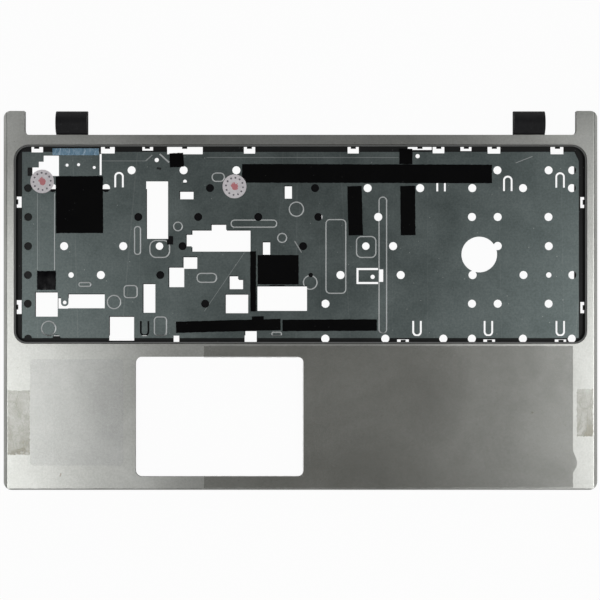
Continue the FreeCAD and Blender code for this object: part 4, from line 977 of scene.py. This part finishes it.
agedSizes = {
    "level": 0.00804,
    "thickness": 0.00005,
    "pitch": 0.0007,
    "edge": 0.0003,
    "wrinkle": 0.00018,
    "wrinkleSize": 0.005,
}
agedTapes = {
    "clear_tape_left": {"middle": (-0.1809, -0.0785), "length": 0.0142, "width": 0.0413, "seed": 61},
    "clear_tape_right": {"middle": (0.1827, -0.0721), "length": 0.0104, "width": 0.0304, "seed": 62},
}


def makeAged(node, values):
    columns = round(values["length"] / agedSizes["pitch"])
    rows = round(values["width"] / agedSizes["pitch"])
    name = nameOf(node)
    middle = (*values["middle"], agedSizes["level"])
    piece = startGrid(name, middle, values["length"], values["width"], columns, rows)
    roughenEdge(piece, agedSizes["edge"], values["seed"])
    wrinkle(piece, agedSizes["wrinkle"], agedSizes["wrinkleSize"])
    thicken(piece, agedSizes["thickness"])
    frontEdge = values["middle"][1] - values["width"] / 2
    finishPiece(piece, node, makeAgedTape(name + "Glue", frontEdge, values["width"]))


for node, values in agedTapes.items():
    makeAged(node, values)
print("yellowed tapes laid")


# Stage: a white floor that keeps a faint shadow

floorSizes = {"side": 8.0, "level": -0.0002, "glow": 0.96}


def makeStageWhite():
    material, tree, shader = startMaterial("stageWhite", 0.0, 0.8)
    shader.inputs["Base Color"].default_value = (0.8, 0.8, 0.8, 1)
    glow = tree.nodes.new("ShaderNodeEmission")
    glow.inputs["Color"].default_value = (1, 1, 1, 1)
    mix = tree.nodes.new("ShaderNodeMixShader")
    tree.links.new(times(tree, seenDirectly(tree), floorSizes["glow"]), mix.inputs[0])
    tree.links.new(shader.outputs[0], mix.inputs[1])
    tree.links.new(glow.outputs[0], mix.inputs[2])
    tree.links.new(mix.outputs[0], tree.nodes["Material Output"].inputs["Surface"])
    return material


clearSelection()
bpy.ops.mesh.primitive_plane_add(size=floorSizes["side"], location=(0, 0, floorSizes["level"]))
floor = bpy.context.object
floor.name = "Floor"
dress(floor, makeStageWhite())


# Light: two long soft lamps high at the sides, and a room that is pale round the horizon

lampSizes = {
    "left": {"at": (-0.42, -0.15, 1.0), "size": (0.20, 0.45), "power": 1.5},
    "right": {"at": (0.48, -0.12, 1.0), "size": (0.20, 0.45), "power": 1.9},
}


def addLamp(name, values):
    bpy.ops.object.light_add(type="AREA", location=values["at"])
    lamp = bpy.context.object
    lamp.name = name
    lamp.data.shape = "RECTANGLE"
    lamp.data.size, lamp.data.size_y = values["size"]
    lamp.data.energy = values["power"]
    lamp.visible_camera = False
    x, y, height = values["at"]
    lamp.rotation_euler = (math.atan2(-y, height), math.atan2(x, height), 0)


for name, values in lampSizes.items():
    addLamp(name + "Lamp", values)

world = bpy.data.worlds.new("Room")
bpy.context.scene.world = world
world.use_nodes = True
room = world.node_tree
coords = room.nodes.new("ShaderNodeTexCoord")
height = axisOf(room, coords.outputs["Generated"], "Z")
shade = ramp(room, height, (0.0, 1.0), (0.30, 0.80), (0.62, 0.30), (0.87, 0.10), (1.0, 0.065))
backdrop = blend(room, seenDirectly(room), shade, (1, 1, 1))
room.links.new(backdrop, room.nodes["Background"].inputs["Color"])


# Camera straight above, about where the photograph was taken from

cameraSizes = {"x": -0.0003, "y": 0.0003, "height": 1.304, "level": 0.004, "span": 0.38652}
bpy.ops.object.camera_add(
    location=(cameraSizes["x"], cameraSizes["y"], cameraSizes["height"]), rotation=(0, 0, 0)
)
camera = bpy.context.object
reach = cameraSizes["height"] - cameraSizes["level"]
camera.data.lens = camera.data.sensor_width * reach / cameraSizes["span"]
bpy.context.scene.camera = camera
bpy.context.scene.view_settings.view_transform = "Standard"
clearSelection()
print("stage, lamps and camera set")
